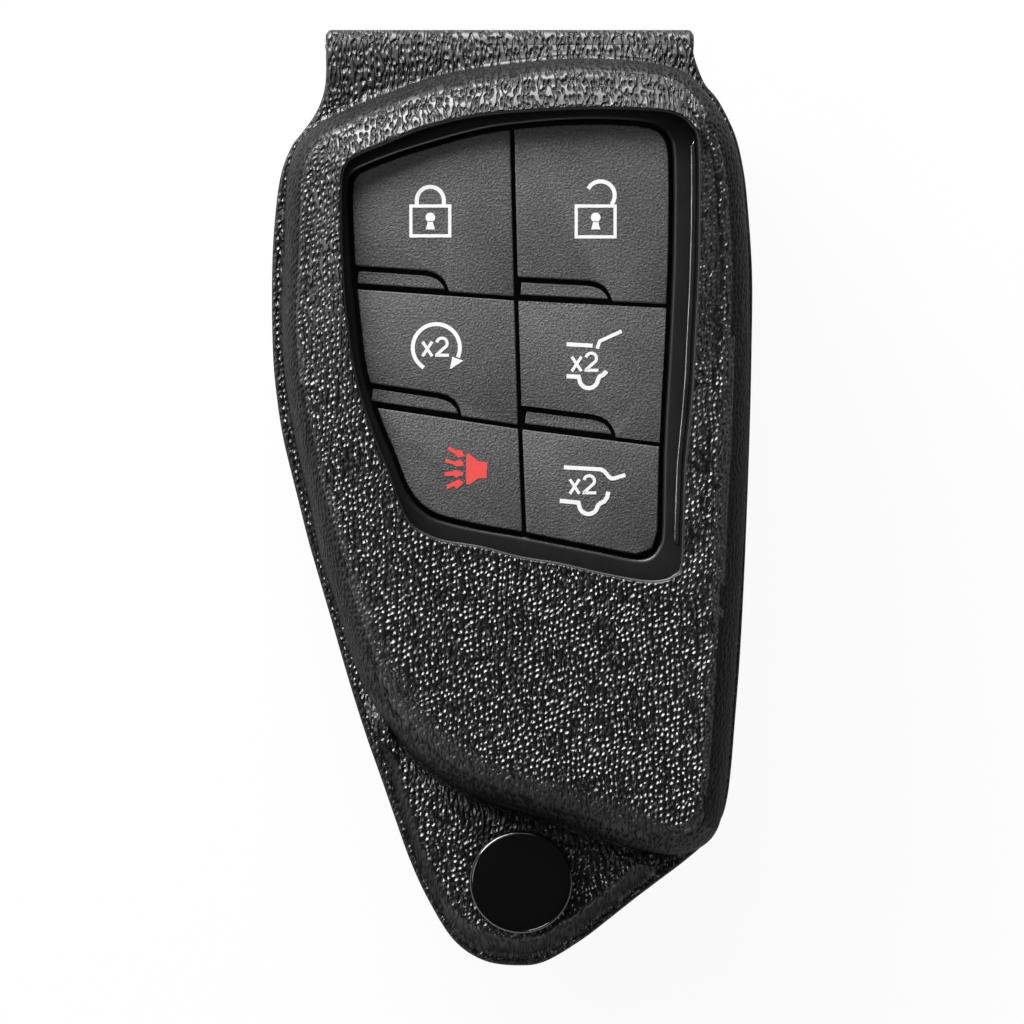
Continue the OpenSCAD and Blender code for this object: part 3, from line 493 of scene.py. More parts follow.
@dataclass
class Leather:
    """The moulded leather: a front over the fob, a back tray, and the fold between them.

    Lengths are in millimetres. Powers shape a rounded profile, and the dull limits are parts of a normal.
    """

    plan: Plan
    thickness: float = 1.4
    edge: float = 0.3
    lip: float = 0.25
    wall_run: float = 1.2
    wall_power: float = 2.3
    soft_power: float = 2.0
    soft_run: float = 1.1
    soft_tab: float = 1.5
    soft_crown: float = 0.45
    dull_lean: float = 0.72
    dull_top: float = 0.6
    towards_fold: float = 0.3
    dull_foot: float = -0.45
    crown_power: float = 1.2
    swell: float = 0.55
    crown_drop: float = 0.4
    crown_fold: float = 1.1
    rim_left: float = 1.3
    rim_tip: float = 0.7
    slope_run: float = 0.8
    soft_slope: float = 2.1
    soft_crease: float = 1.7
    crease_w: float = 0.6
    crease_d: float = 0.6
    tray_step: float = 0.6
    tray_roll: float = 3.0
    bend_from: float = 41.9
    wall_steps: int = 12
    fold_steps: int = 32
    fold_skin: float = 1.1
    fold_over: tuple[float, float] = (0.1, 0.08)
    fold_round: float = 0.28
    end_pull: float = 0.55
    end_run: float = 0.5
    eye_radius: float = 1.6
    plateau_rise: float = 2.7
    tab_blend: float = 2.7
    lining_power: float = 1.6
    corner: float = 0.5
    top: float = field(init=False)
    under: float = field(init=False)
    rim_top: float = field(init=False)
    plateau: float = field(init=False)
    back_upper: float = field(init=False)
    back_under: float = field(init=False)

    def __post_init__(self) -> None:
        """Takes the heights from the frame and works out the shared outlines."""
        plan = self.plan
        self.top = high("front_shell").z
        self.under = low("front_shell").z
        self.rim_top = self.under + self.thickness
        self.plateau = self.rim_top + self.plateau_rise
        self.back_upper = high("back_shell").z
        self.back_under = self.back_upper - self.thickness
        self.fold_z = (low("fold_strip").z + high("fold_strip").z) / 2
        self.side = self.swell * np.sqrt(np.maximum(0, np.cos(np.radians(plan.bearing))))
        self.rim = plan.short_of_fold(plan.silhouette)
        cut = np.minimum(self.edge, (plan.silhouette - plan.foot) * 0.4)
        self.rim_in = plan.short_of_fold(plan.inset(plan.silhouette, cut))
        self.crest = plan.inset(plan.foot, self.wall_run * plan.run)
        sine = np.sin(np.radians(plan.bearing))
        towards_fold = ease((sine + 0.1) / 0.8)
        self.crown = mix(self.crown_drop, self.crown_fold, towards_fold)
        self.outer_crown = self.crown + mix(self.soft_crown, 2 * self.soft_crown, towards_fold)
        at_tab = (plan.bearing > -135) & (plan.bearing < -45)
        self.tab = np.where(at_tab, ease((self.rim - plan.foot - 2 * self.edge) / self.tab_blend), 0)
        self.tab_rim = mix(self.rim_left, self.rim_tip, ease((plan.bearing + 115) / 20))
        self.fillet = np.minimum(2 * self.edge, (self.rim - plan.foot) / 2)
        self.shoulder = plan.inset(self.crest, self.soft_run + self.soft_tab * self.tab)

    def wall(self, angle: float, depth: float, start: Number, top: float) -> np.ndarray:
        """A ring of the moulded wall.

        Args:
            angle: Angle along the wall's profile in degrees, from its foot to its crest.
            depth: Depth below the leather's outer face.
            start: Height of the foot.
            top: Height of the window's edge.

        Returns:
            The ring's points.
        """
        plan = self.plan
        run, rise = arch(angle, self.wall_power)
        base, tip = plan.inset(plan.foot, depth), plan.inset(self.crest, depth * 0.7)
        reach = mix(base, tip, run) + self.side * math.sin(math.pi * rise)
        return plan.ring(reach, mix(start, top - depth - self.crown, rise))

    def soft_wall(self, angle: float, start: np.ndarray) -> np.ndarray:
        """A ring of the leather's outer face, rounder than its lining.

        Args:
            angle: Angle along the wall's profile in degrees, from its foot to its shoulder.
            start: Height of the foot.

        Returns:
            The ring's points.
        """
        run, rise = arch(angle, self.soft_power)
        reach = mix(self.plan.foot, self.shoulder, run) + self.side * math.sin(math.pi * rise)
        share = (self.crest - self.shoulder) / np.maximum(self.crest - self.plan.window, 0.1)
        edge_z = self.top - self.outer_crown * (1 - share) ** self.crown_power
        return self.plan.ring(reach, mix(start, edge_z, rise))

    def soft_top(self, inner: np.ndarray, share: float) -> np.ndarray:
        """A ring of the outer face, a share of the way from the shoulder to the window's lip."""
        reach = mix(self.shoulder, inner, share)
        along = (self.crest - reach) / np.maximum(self.crest - inner, 0.1)
        drop = self.outer_crown * (1 - np.clip(along, 0, 1)) ** self.crown_power
        return self.plan.ring(reach, self.top - drop)

    def crowned(self, inner: np.ndarray, depth: float, top: float, share: float) -> np.ndarray:
        """A ring of the crowned top, a share of the way from the crest to an inner outline."""
        tip = self.plan.inset(self.crest, depth * 0.7)
        drop = self.crown * (1 - share) ** self.lining_power
        return self.plan.ring(mix(tip, inner, share), top - depth - drop)

    def tab_ring(self, step: int, steps: int) -> np.ndarray:
        """A ring between the rim and the foot of the wall: a fillet, or the snap plateau and its crease."""
        plan = self.plan
        turn = math.pi / 2 * step / steps
        bend = plan.foot + self.fillet * (1 - math.sin(turn))
        bend_z = self.rim_top + self.fillet * (1 - math.cos(turn))
        outer = self.rim - self.tab_rim
        inner = outer - self.soft_slope
        crease = plan.foot + self.soft_crease
        slope_steps, crease_steps = 5, 4
        flat_steps = steps - slope_steps - crease_steps
        if step <= slope_steps:
            share = step / slope_steps
            tab, tab_z = mix(outer, inner, share), mix(self.rim_top, self.plateau, float(ease(share)))
        elif step <= slope_steps + flat_steps:
            share = (step - slope_steps) / flat_steps
            tab, tab_z = mix(inner, crease, share), self.plateau
        else:
            share = (step - slope_steps - flat_steps) / crease_steps
            tab, tab_z = mix(crease, plan.foot, share), self.plateau - self.crease_d * float(ease(share))
        return plan.ring(mix(bend, tab, self.tab), mix(bend_z, tab_z, self.tab))

    def round_edge(self, outer: np.ndarray, inner: np.ndarray, low_z: float, high_z: float,
                   steps: int, edge: float = 1.0) -> list[Ring]:
        """Rings of a rounded edge that turns from a standing face to a lying one."""
        rings = []
        for step in range(1, steps + 1):
            turn = math.pi / 2 * step / steps
            reach = mix(outer, inner, 1 - math.cos(turn))
            rings.append(Ring(self.plan.ring(reach, mix(low_z, high_z, math.sin(turn))), edge))
        return rings

    def front_rings(self) -> list[Ring]:
        """The rings of the leather front, from the rim's under edge over the top and back inside."""
        plan = self.plan
        foot_z = mix(self.rim_top + self.fillet, self.plateau - self.crease_d, self.tab)
        tab_steps = 20
        rings = [
            Ring(plan.ring(self.rim_in, self.under), 1.0, 0.5),
            Ring(plan.ring(self.rim, self.under + self.edge / 2), 1.0),
            Ring(plan.ring(self.rim, self.rim_top - self.edge), 1.0)]
        rings += self.round_edge(self.rim, self.rim_in, self.rim_top - self.edge, self.rim_top, 4, 0.6)
        rim_foot = mix(plan.foot + self.fillet, self.rim - self.tab_rim, self.tab)
        rings.append(Ring(plan.ring(mix(self.rim_in, rim_foot, 0.5), self.rim_top)))
        rings += [Ring(self.tab_ring(k, tab_steps)) for k in range(tab_steps + 1)]
        foot_at = len(rings) - 1
        rings += [Ring(self.soft_wall(90 * k / self.wall_steps, foot_z))
                  for k in range(1, self.wall_steps + 1)]
        lip = plan.inset(plan.window, -self.lip)
        rings += [Ring(self.soft_top(lip, k / 9)) for k in range(1, 9)]
        rings.append(Ring(plan.ring(plan.inset(lip, -0.12), self.top), 0.0))
        plan.unroll(rings[foot_at:][::-1], True)
        lip_at = len(rings) - 1
        for k in range(6):
            turn = math.pi / 2 * k / 5
            reach = mix(lip, plan.window, math.sin(turn))
            rings.append(Ring(plan.ring(reach, self.top - self.lip * (1 - math.cos(turn))), 1.0))
        rings.append(Ring(plan.ring(plan.window, self.top - self.thickness), 1.0))
        plan.unroll(rings[lip_at:], False)
        rings += self.front_lining()
        self.bend_to_fold(rings, self.rim_top, self.under)
        return rings

    def front_lining(self) -> list[Ring]:
        """The rings of the leather front's inner face, from the window down to the rim's underside."""
        plan = self.plan
        inner = plan.inset(plan.foot, self.thickness)
        outer = self.rim - self.tab_rim
        under_z = mix(self.under + self.thickness, self.plateau - self.crease_d - self.thickness, self.tab)
        under_tab = mix(self.under + self.edge, self.plateau - self.thickness, self.tab)
        rings = [Ring(self.crowned(plan.window, self.thickness, self.top, share), 0, 1)
                 for share in (0.8, 0.4)]
        rings += [Ring(self.wall(90 * k / 6, self.thickness, under_z, self.top), 0, 1)
                  for k in range(6, -1, -1)]
        rings += [
            Ring(plan.ring(mix(inner + self.edge / 8, plan.foot + self.crease_w, self.tab),
                           mix(self.under + 2 * self.edge, self.plateau - self.thickness, self.tab)), 0, 1),
            Ring(plan.ring(mix(inner + self.edge / 4, outer - self.slope_run - self.thickness / 2, self.tab),
                           under_tab), 0, 1),
            Ring(plan.ring(mix(inner + self.edge / 2, outer - self.thickness / 2, self.tab), self.under),
                 0, 1)]
        return rings

    def tray(self, angle: float, depth: float, start: float, end: float) -> np.ndarray:
        """A ring of the back tray's wall, at an angle of its profile from the rim to the flat."""
        plan = self.plan
        run, rise = arch(angle, self.wall_power)
        base = plan.inset(plan.foot, self.tray_step + depth)
        flat = plan.inset(plan.foot, self.tray_step + self.thickness + self.tray_roll)
        return plan.ring(mix(base, flat, run), mix(start, end, rise))

    def back_rings(self) -> list[Ring]:
        """The rings of the leather back, from its flat underside out to the rim and in again."""
        plan = self.plan
        inner = plan.inset(plan.foot, self.tray_step + self.thickness)
        base = plan.inset(plan.foot, self.tray_step)
        corner = self.corner
        rings = [Ring(self.tray(90 * k / self.wall_steps, 0, self.back_under - corner, 0))
                 for k in range(self.wall_steps, -1, -1)]
        for k in range(1, 4):
            turn = math.pi / 2 * k / 4
            reach = base + np.minimum(corner, (self.rim - base) / 2) * (1 - math.cos(turn))
            rings.append(Ring(plan.ring(reach, self.back_under - corner * (1 - math.sin(turn)))))
        rings += [
            Ring(plan.ring(mix(base, self.rim_in, 0.6), self.back_under)),
            Ring(plan.ring(self.rim_in, self.back_under), 0.6),
            Ring(plan.ring(self.rim, self.back_under + self.edge), 1),
            Ring(plan.ring(self.rim, self.back_upper - self.edge / 2), 1),
            Ring(plan.ring(self.rim_in, self.back_upper), 1, 0.5),
            Ring(plan.ring(plan.inset(inner, -self.edge), self.back_upper), 0, 1)]
        plan.unroll(rings[:-1], True)
        rings += [Ring(self.tray(90 * k / 8, self.thickness, self.back_upper - self.edge,
                                 self.thickness), 0, 1) for k in range(9)]
        self.bend_to_fold(rings, self.back_under, self.back_upper)
        return rings

    def bend_to_fold(self, rings: Sequence[Ring], face: float, back: float) -> None:
        """Bends the flat band before the fold towards it, on the fold's own ellipse.

        Args:
            rings: The rings of a half.
            face: Height of the band's outer face.
            back: Height of its inner face, which stays flat.
        """
        middle_z = (self.rim_top + self.back_under) / 2
        for ring in rings:
            _, y, z = ring.points.T
            along = np.clip((y - self.bend_from) / (self.plan.fold_end - self.bend_from), 0, 1)
            fall = (1 - np.sqrt(1 - along ** 2)) * (middle_z - face)
            share = np.clip((z - back) / (face - back), 0, 1)
            ring.points[:, 2] = z + fall * share * (np.abs(z - back) <= abs(face - back) + 1e-6)

    def fold(self) -> Object:
        """The rolled fold: half a tube of leather, closed at its ends."""
        x0, x1 = low("fold_strip").x - self.fold_over[0], high("fold_strip").x + self.fold_over[1]
        radius = (high("fold_strip").z - low("fold_strip").z) / 2
        reach = self.plan.fold_end - self.bend_from
        start = math.asin((self.plan.fold_y - self.bend_from) / reach)
        turns = np.linspace(start, math.pi - start, self.fold_steps + 1)
        heights = self.fold_z - radius * np.cos(turns)
        profile = np.stack([self.bend_from + reach * np.sin(turns), heights], 1)
        length = np.concatenate([[0], np.cumsum(np.hypot(*np.diff(profile, axis=0).T))])
        Pieces.clear()
        bpy.ops.mesh.primitive_grid_add(x_subdivisions=120, y_subdivisions=self.fold_steps, size=1)
        piece = Pieces.named("leather_fold")
        mesh = Pieces.edit(piece)
        hide = mesh.verts.layers.float_vector.new("hide")
        for vert in mesh.verts:
            step = round((vert.co.y + 0.5) * self.fold_steps)
            x = mix(x0, x1, vert.co.x + 0.5)
            near_end = max(0.0, 1 - min(x - x0, x1 - x) / self.end_run)
            pull = math.sqrt(1 - self.end_pull * near_end ** 2)
            y = self.plan.fold_y + (profile[step][0] - self.plan.fold_y) * pull
            vert.co = Vector((x, y, profile[step][1])) * MM
            vert[hide] = Vector((x, self.plan.fold_y + length[-1] - length[step], 0)) * MM
        bmesh.update_edit_mesh(piece.data)
        bpy.ops.mesh.select_all(action="SELECT")
        bpy.ops.mesh.normals_make_consistent(inside=False)
        bpy.ops.object.mode_set(mode="OBJECT")
        if sum(face.normal.y for face in piece.data.polygons) < 0:
            Pieces.whole(piece)
            bpy.ops.mesh.flip_normals()
            bpy.ops.object.mode_set(mode="OBJECT")
        Pieces.modify(piece, "SOLIDIFY", thickness=self.fold_skin * MM, offset=-1)
        for key in ("edge", "flesh"):
            piece.data.attributes.new(key, "FLOAT", "POINT")
        marks = piece.data.attributes
        for vert, cut, inside in zip(piece.data.vertices, marks["edge"].data, marks["flesh"].data):
            x, y, height = vert.co / MM
            far = math.hypot((y - self.bend_from) / reach, (height - self.fold_z) / radius)
            inside.value = 1.0 if far < 0.75 else 0.0
            cut.value = 1.0 if min(x - x0, x1 - x) < 0.01 else 0.0
        Pieces.bevel(piece, self.fold_round, 3, 60)
        return Pieces.tidy(piece, 50)

    def mark_walls(self, piece: Object) -> None:
        """Notes on a leather piece where it is steep, where it was pulled and where it leans."""
        mesh = piece.data
        normals = np.array([v.normal for v in mesh.vertices], float)
        places = np.array([v.co for v in mesh.vertices], float) / MM
        at_fold = np.abs(places[:, 1] - self.plan.fold_y) < 0.02
        normals[at_fold] = (0, 0, 1)
        upright, along = np.abs(normals[:, 2]), np.abs(normals[:, 1])
        marks = {
            "wall": ease((0.7 - upright) / 0.36),
            "pull": np.maximum(ease((along - 0.1) / 0.35), ease((places[:, 1] - 36) / 5)),
            "lean": ease((0.92 - upright) / 0.2) * (normals[:, 1] < self.towards_fold)}
        for key in marks:
            mesh.attributes.new(key, "FLOAT", "POINT")
        for key, values in marks.items():
            mesh.attributes[key].data.foreach_set("value", values.astype(np.float32))

    def dull_walls(self, piece: Object, dull: Sequence[Material]) -> None:
        """Gives the steep faces of a leather piece the duller finishes of stretched leather.

        Args:
            piece: The leather piece.
            dull: The finish of the walls, then the one of the slopes towards the snap.
        """
        for finish in dull:
            piece.data.materials.append(finish)
        for face in piece.data.polygons:
            limit = self.dull_lean if face.normal.y < self.towards_fold else self.dull_top
            if abs(face.normal.z) < limit:
                face.material_index = 1 if face.normal.y > self.dull_foot else 2

    def build(self, finish: Material, dull: Sequence[Material]) -> None:
        """Makes the front, the back and the fold, and dresses them."""
        halves = (("front", self.front_rings(), True, self.rim_top, self.plateau + 1),
                  ("back", self.back_rings(), False, self.back_under - 1, self.back_upper + 1))
        for half, rings, closed, under, over in halves:
            piece = Skin(f"leather_{half}", rings, closed).piece
            eye = Pieces.drum("eye", middle("snap_cap"), self.eye_radius, under, over)
            Pieces.cut(Pieces.tidy(piece, 60), eye)
            self.mark_walls(piece)
            dress(piece, finish, "leather", f"{half}_cover", f"{half}_shell")
            self.dull_walls(piece, dull)
        fold = self.fold()
        self.mark_walls(fold)
        dress(fold, finish, "leather", "", "fold_strip")
        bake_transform(fold, "back_cover", "front_cover",
                 start=(0, self.plan.fold_y * MM, (self.fold_z - 1.2) * MM),
                 end=(0, self.plan.fold_y * MM, (self.fold_z + 1.2) * MM))


def dress(piece: Object, finish: Material, slot: str, body: str, *nodes: str) -> None:
    """Gives a piece its finish, lets it stand for CAD nodes, and lets it ride on a named body."""
    piece.data.materials.clear()
    piece.data.materials.append(finish)
    if nodes:
        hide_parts(*nodes)
    if body:
        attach(piece, body)
    LOG.info("%s: %d faces", piece.name, len(piece.data.polygons))


class Wiring:
    """A short hand for adding nodes to a tree."""

    def __init__(self, owner: Material | bpy.types.World) -> None:
        """Opens the owner's tree."""
        owner.use_nodes = True
        self.tree = owner.node_tree

    def node(self, kind: str, inputs: dict | None = None, **settings: object) -> bpy.types.Node:
        """Adds a node.

        Args:
            kind: The node's type.
            inputs: Values or sockets by input name or number.
            settings: The node's own settings by name.

        Returns:
            The node.
        """
        node = self.tree.nodes.new(kind)
        for key, value in settings.items():
            setattr(node, key, value)
        for key, value in (inputs or {}).items():
            if isinstance(value, NodeSocket):
                self.tree.links.new(value, node.inputs[key])
            else:
                node.inputs[key].default_value = value
        return node

    def maths(self, operation: str, a: Value, b: Value = 0.5) -> NodeSocket:
        """One sum of two values."""
        return self.node("ShaderNodeMath", {0: a, 1: b}, operation=operation).outputs[0]

    def veiled(self, share: NodeSocket, under: NodeSocket, over: NodeSocket, kind: str) -> None:
        """Ends the tree with a blend of two shaders, in an output of a kind."""
        blend = self.node("ShaderNodeMixShader", {0: share, 1: under, 2: over})
        self.node(kind, {"Surface": blend.outputs[0]})


class Weave(Wiring):
    """A short hand for laying out a material round one shader."""

    def __init__(self, name: str) -> None:
        """Starts a material."""
        self.material = bpy.data.materials.new(name)
        super().__init__(self.material)
        self.shader = self.tree.nodes["Principled BSDF"]
        self.coordinates = self.node("ShaderNodeTexCoord").outputs["Object"]

    def vector(self, operation: str, a: NodeSocket, b: NodeSocket | Spot) -> bpy.types.Node:
        """One sum of two vectors."""
        return self.node("ShaderNodeVectorMath", {0: a, 1: b}, operation=operation)

    def scaled(self, x: float, y: float, z: float, source: NodeSocket | None = None) -> NodeSocket:
        """The coordinates times a number along each axis."""
        return self.vector("MULTIPLY", source or self.coordinates, (x, y, z)).outputs[0]

    def warped(self, source: NodeSocket, scale: float, reach: float) -> NodeSocket:
        """Coordinates pushed about by a soft noise."""
        noise = self.node("ShaderNodeTexNoise", {"Vector": source, "Scale": scale, "Detail": 1.0})
        centred = self.vector("SUBTRACT", noise.outputs["Color"], (0.5, 0.5, 0.5)).outputs[0]
        pushed = self.vector("MULTIPLY", centred, (reach,) * 3).outputs[0]
        return self.vector("ADD", source, pushed).outputs[0]

    def noise(self, source: NodeSocket, scale: float, detail: float, rough: float = 0.5) -> NodeSocket:
        """A noise between 0 and 1."""
        return self.node("ShaderNodeTexNoise", {
            "Vector": source, "Scale": scale, "Detail": detail, "Roughness": rough}).outputs["Fac"]

    def cells(self, source: NodeSocket, scale: float, soft: float, spread: float = 1.0) -> NodeSocket:
        """Distance to the nearest of scattered points."""
        return self.node("ShaderNodeTexVoronoi", {
            "Vector": source, "Scale": scale, "Smoothness": soft, "Randomness": spread},
            feature="SMOOTH_F1", voronoi_dimensions="2D").outputs["Distance"]

    def ramp(self, value: NodeSocket, start: float, end: float, straight: bool = False) -> NodeSocket:
        """A step from 0 to 1, smooth or straight, as a value goes from start to end."""
        return self.node("ShaderNodeMapRange", {
            "Value": value, "From Min": start, "From Max": end},
            interpolation_type="LINEAR" if straight else "SMOOTHSTEP").outputs["Result"]

    def blend(self, share: Value, a: Value, b: Value) -> NodeSocket:
        """A value a share of the way from a to b."""
        return self.node("ShaderNodeMix", {0: share, 2: a, 3: b}, data_type="FLOAT").outputs[0]

    def tint(self, share: NodeSocket, a: Spot | NodeSocket, b: Spot | NodeSocket) -> NodeSocket:
        """A colour a share of the way from a to b."""
        first = a if isinstance(a, NodeSocket) else (*a, 1.0)
        second = b if isinstance(b, NodeSocket) else (*b, 1.0)
        return self.node("ShaderNodeMix", {0: share, 6: first, 7: second}, data_type="RGBA").outputs[2]

    def mark(self, name: str) -> NodeSocket:
        """A value painted on the mesh."""
        return self.node("ShaderNodeAttribute", attribute_name=name).outputs["Fac"]

    def bump(self, height: NodeSocket, depth: float) -> NodeSocket:
        """A normal bumped by a height between 0 and 1, with the depth of 1 in millimetres."""
        return self.node("ShaderNodeBump", {
            "Height": height, "Distance": depth * MM, "Strength": 1.0}).outputs["Normal"]

    def shade(self, **inputs: object) -> Material:
        """Sets the shader's sockets, by name with underscores for spaces, and returns the material."""
        for key, value in inputs.items():
            socket = self.shader.inputs[key.replace("_", " ")]
            if isinstance(value, NodeSocket):
                self.tree.links.new(value, socket)
            else:
                socket.default_value = value
        return self.material


@dataclass(frozen=True)
class PebbledLeather:
    """Black leather moulded wet: pitted grain with painted shade in its pits, stretched where it was pulled
    with a painted sheen on its flats there, brown in its creases.
    """

    name: str = "pebbled_leather"
    ior: float = 1.64
    dull: bool = False
    black: Triple = (0.0095, 0.0095, 0.01)
    # Painted shade: a darker colour laid in the grain's pits and channels
    pit_shade: Triple = (0.003, 0.003, 0.0032)
    brown: Triple = (0.03, 0.023, 0.019)
    paint: Triple = (0.005, 0.005, 0.0055)
    # Painted sheen: a lighter grey laid on the grain's flats where the leather was pulled
    sheen_grey: Triple = (0.042, 0.042, 0.044)
    lining: Triple = (0.03, 0.028, 0.027)
    grain_per_m: float = 1720.0
    slant: float = -0.42
    fine_per_m: float = 5200.0
    nap_per_m: float = 3000.0
    strands_per_m: Triple = (420, 420, 3600)
    depth: float = 0.21

    def make(self) -> Material:
        """Lays out the material."""
        w = Weave(self.name)
        wall, edge, flesh = w.mark("wall"), w.mark("edge"), w.mark("flesh")
        pull, lean = w.mark("pull"), w.mark("lean")
        hide = w.node("ShaderNodeAttribute", attribute_name="hide").outputs["Vector"]
        flow = w.warped(hide, 200, 0.001)
        flow = w.warped(flow, 900, 0.0002)
        slant = w.vector("DOT_PRODUCT", flow, (self.slant, 0, 0)).outputs["Value"]
        leant = w.vector("ADD", flow, w.node("ShaderNodeCombineXYZ", {"Y": slant}).outputs[0]).outputs[0]
        dots = w.cells(w.scaled(1.1, 0.88, 1.0, leant), self.grain_per_m, 0.02, 0.62)
        dots = w.ramp(dots, 0.08, 0.52, True)
        pulled = w.cells(w.scaled(1.1, 0.62, 1.0, flow), self.grain_per_m, 0.02, 0.8)
        pulled = w.ramp(pulled, 0.05, 0.45, True)
        worms = w.noise(w.scaled(1.3, 0.3, 1.0, flow), self.grain_per_m * 0.62, 1.0, 0.4)
        worms = w.ramp(w.maths("ABSOLUTE", w.maths("SUBTRACT", worms, 0.5)), 0.0, 0.07)
        patch = w.ramp(w.noise(flow, 300, 1.0), 0.3, 0.55)
        grain = w.blend(pull, dots, pulled)
        channel = w.blend(w.maths("MAXIMUM", pull, patch), 1.0, worms)
        grain = w.maths("MULTIPLY", grain, w.blend(0.8, 1.0, channel))
        fine = w.noise(flow, self.fine_per_m, 3.0, 0.6)
        outside = w.maths("MULTIPLY", w.maths("SUBTRACT", 1.0, edge), w.maths("SUBTRACT", 1.0, flesh))
        shown = w.maths("MULTIPLY", outside, w.maths("SUBTRACT", 1.0, w.maths("MULTIPLY", wall, 0.15)))
        strands = w.ramp(w.noise(w.scaled(*self.strands_per_m), 1.0, 1.5, 0.5), 0.56, 0.7)
        nap = w.noise(w.coordinates, self.nap_per_m, 4.0, 0.7)
        shown = w.maths("MULTIPLY", shown, w.blend(pull, 0.9, 1.3))
        height = w.maths("ADD", w.maths("MULTIPLY", grain, shown), w.maths("MULTIPLY", fine, 0.02))
        height = w.maths("ADD", height, w.maths("MULTIPLY", w.maths("MULTIPLY", strands, wall), 0.1))
        height = w.maths("ADD", height, w.maths("MULTIPLY", w.maths("MULTIPLY", nap, flesh), 0.7))
        # Painted shade: the pits and channels of the grain take the darker colour
        colour = w.tint(w.ramp(grain, 0.1, 0.7), self.pit_shade, self.black)
        # Painted sheen: pulled flats away from the walls are tinted lighter
        painted_sheen = w.maths("MULTIPLY", pull, w.ramp(grain, 0.25, 0.8))
        colour = w.tint(w.maths("MULTIPLY", painted_sheen, w.maths("SUBTRACT", 1.0, wall)), colour, self.sheen_grey)
        colour = w.tint(w.maths("MULTIPLY", w.maths("MULTIPLY", wall, outside), strands), colour, self.brown)
        colour = w.tint(edge, colour, self.paint)
        colour = w.tint(flesh, colour, self.lining)
        rough = w.blend(fine, w.blend(pull, 0.24, 0.34), w.blend(pull, 0.36, 0.48))
        rough = w.blend(w.ramp(grain, 0.0, 0.3), 0.55, w.blend(w.maths("MULTIPLY", lean, 0.5), rough, 0.7))
        rough = w.blend(0.4 if self.dull else 0.0, rough, 0.9)
        rough = w.blend(edge, rough, 0.5)
        rough = w.blend(flesh, rough, 0.95)
        return w.shade(Base_Color=colour, Roughness=rough, IOR=self.ior,
                       Normal=w.bump(height, self.depth))


@dataclass(frozen=True)
class MouldedPlastic:
    """Moulded plastic with a spark-eroded texture and faint mottling."""

    name: str
    colour: Triple
    light: Triple
    roughness: float
    texture_per_m: float
    depth: float

    def make(self) -> Material:
        """Lays out the material."""
        w = Weave(self.name)
        grit = w.noise(w.coordinates, self.texture_per_m, 3.0, 0.65)
        cloud = w.noise(w.coordinates, self.texture_per_m / 14, 3.0, 0.6)
        speck = w.ramp(grit, 0.35, 0.75)
        colour = w.tint(w.blend(0.4, speck, cloud), self.colour, self.light)
        rough = w.blend(cloud, self.roughness - 0.05, self.roughness + 0.07)
        return w.shade(Base_Color=colour, Roughness=rough, Normal=w.bump(grit, self.depth))


@dataclass(frozen=True)
class WornMetal:
    """Metal with fine brush lines or turning marks and a little staining."""

    name: str
    colour: Triple
    stain: Triple
    roughness: float
    lines_per_m: Triple
    depth: float = 0.004

    def make(self) -> Material:
        """Lays out the material."""
        w = Weave(self.name)
        lines = w.noise(w.scaled(*self.lines_per_m), 1.0, 3.0, 0.6)
        cloud = w.noise(w.coordinates, 420, 3.0, 0.6)
        colour = w.tint(w.ramp(cloud, 0.35, 0.75), self.colour, self.stain)
        rough = w.blend(lines, self.roughness - 0.06, self.roughness + 0.1)
        return w.shade(Base_Color=colour, Metallic=1.0, Roughness=rough,
                       Normal=w.bump(lines, self.depth))


@dataclass(frozen=True)
class GlossEnamel:
    """Thick black enamel on the snap's cap, with dust and faint rub marks."""

    colour: Triple = (0.0022, 0.0022, 0.0024)

    def make(self) -> Material:
        """Lays out the material."""
        w = Weave("gloss_enamel")
        dust = w.ramp(w.cells(w.coordinates, 900, 0.05), 0.04, 0.015)
        rub = w.noise(w.scaled(600, 2600, 600), 1.0, 3.0, 0.6)
        rough = w.blend(rub, 0.1, 0.2)
        colour = w.tint(w.maths("MULTIPLY", dust, 0.12), self.colour, (0.1, 0.1, 0.1))
        return w.shade(Base_Color=colour, Roughness=rough, Coat_Weight=0.6, Coat_Roughness=0.06,
                       Normal=w.bump(w.noise(w.coordinates, 500, 1.0), 0.01))


class Finish(Enum):
    """The finishes that the plain pieces take, each with its record slot."""

    FOB = "fob_plastic"
    REAR = "rear_plastic"
    BUTTON = "button_plastic"
    MAT = "mat_rubber"
    BOARD = "board_laminate"
    PLUNGER = "plunger_plastic"
    FERRITE = "aerial_ferrite"
    CHIP = "chip_resin"
    GRIP = "key_plastic"
    CHROME = "trim_chrome"
    SNAP = "snap_metal"
    WIRE = "spring_metal"
    SWITCH = "switch_metal"
    CELL = "cell_steel"
    BRASS = "contact_brass"
    BLADE = "key_steel"


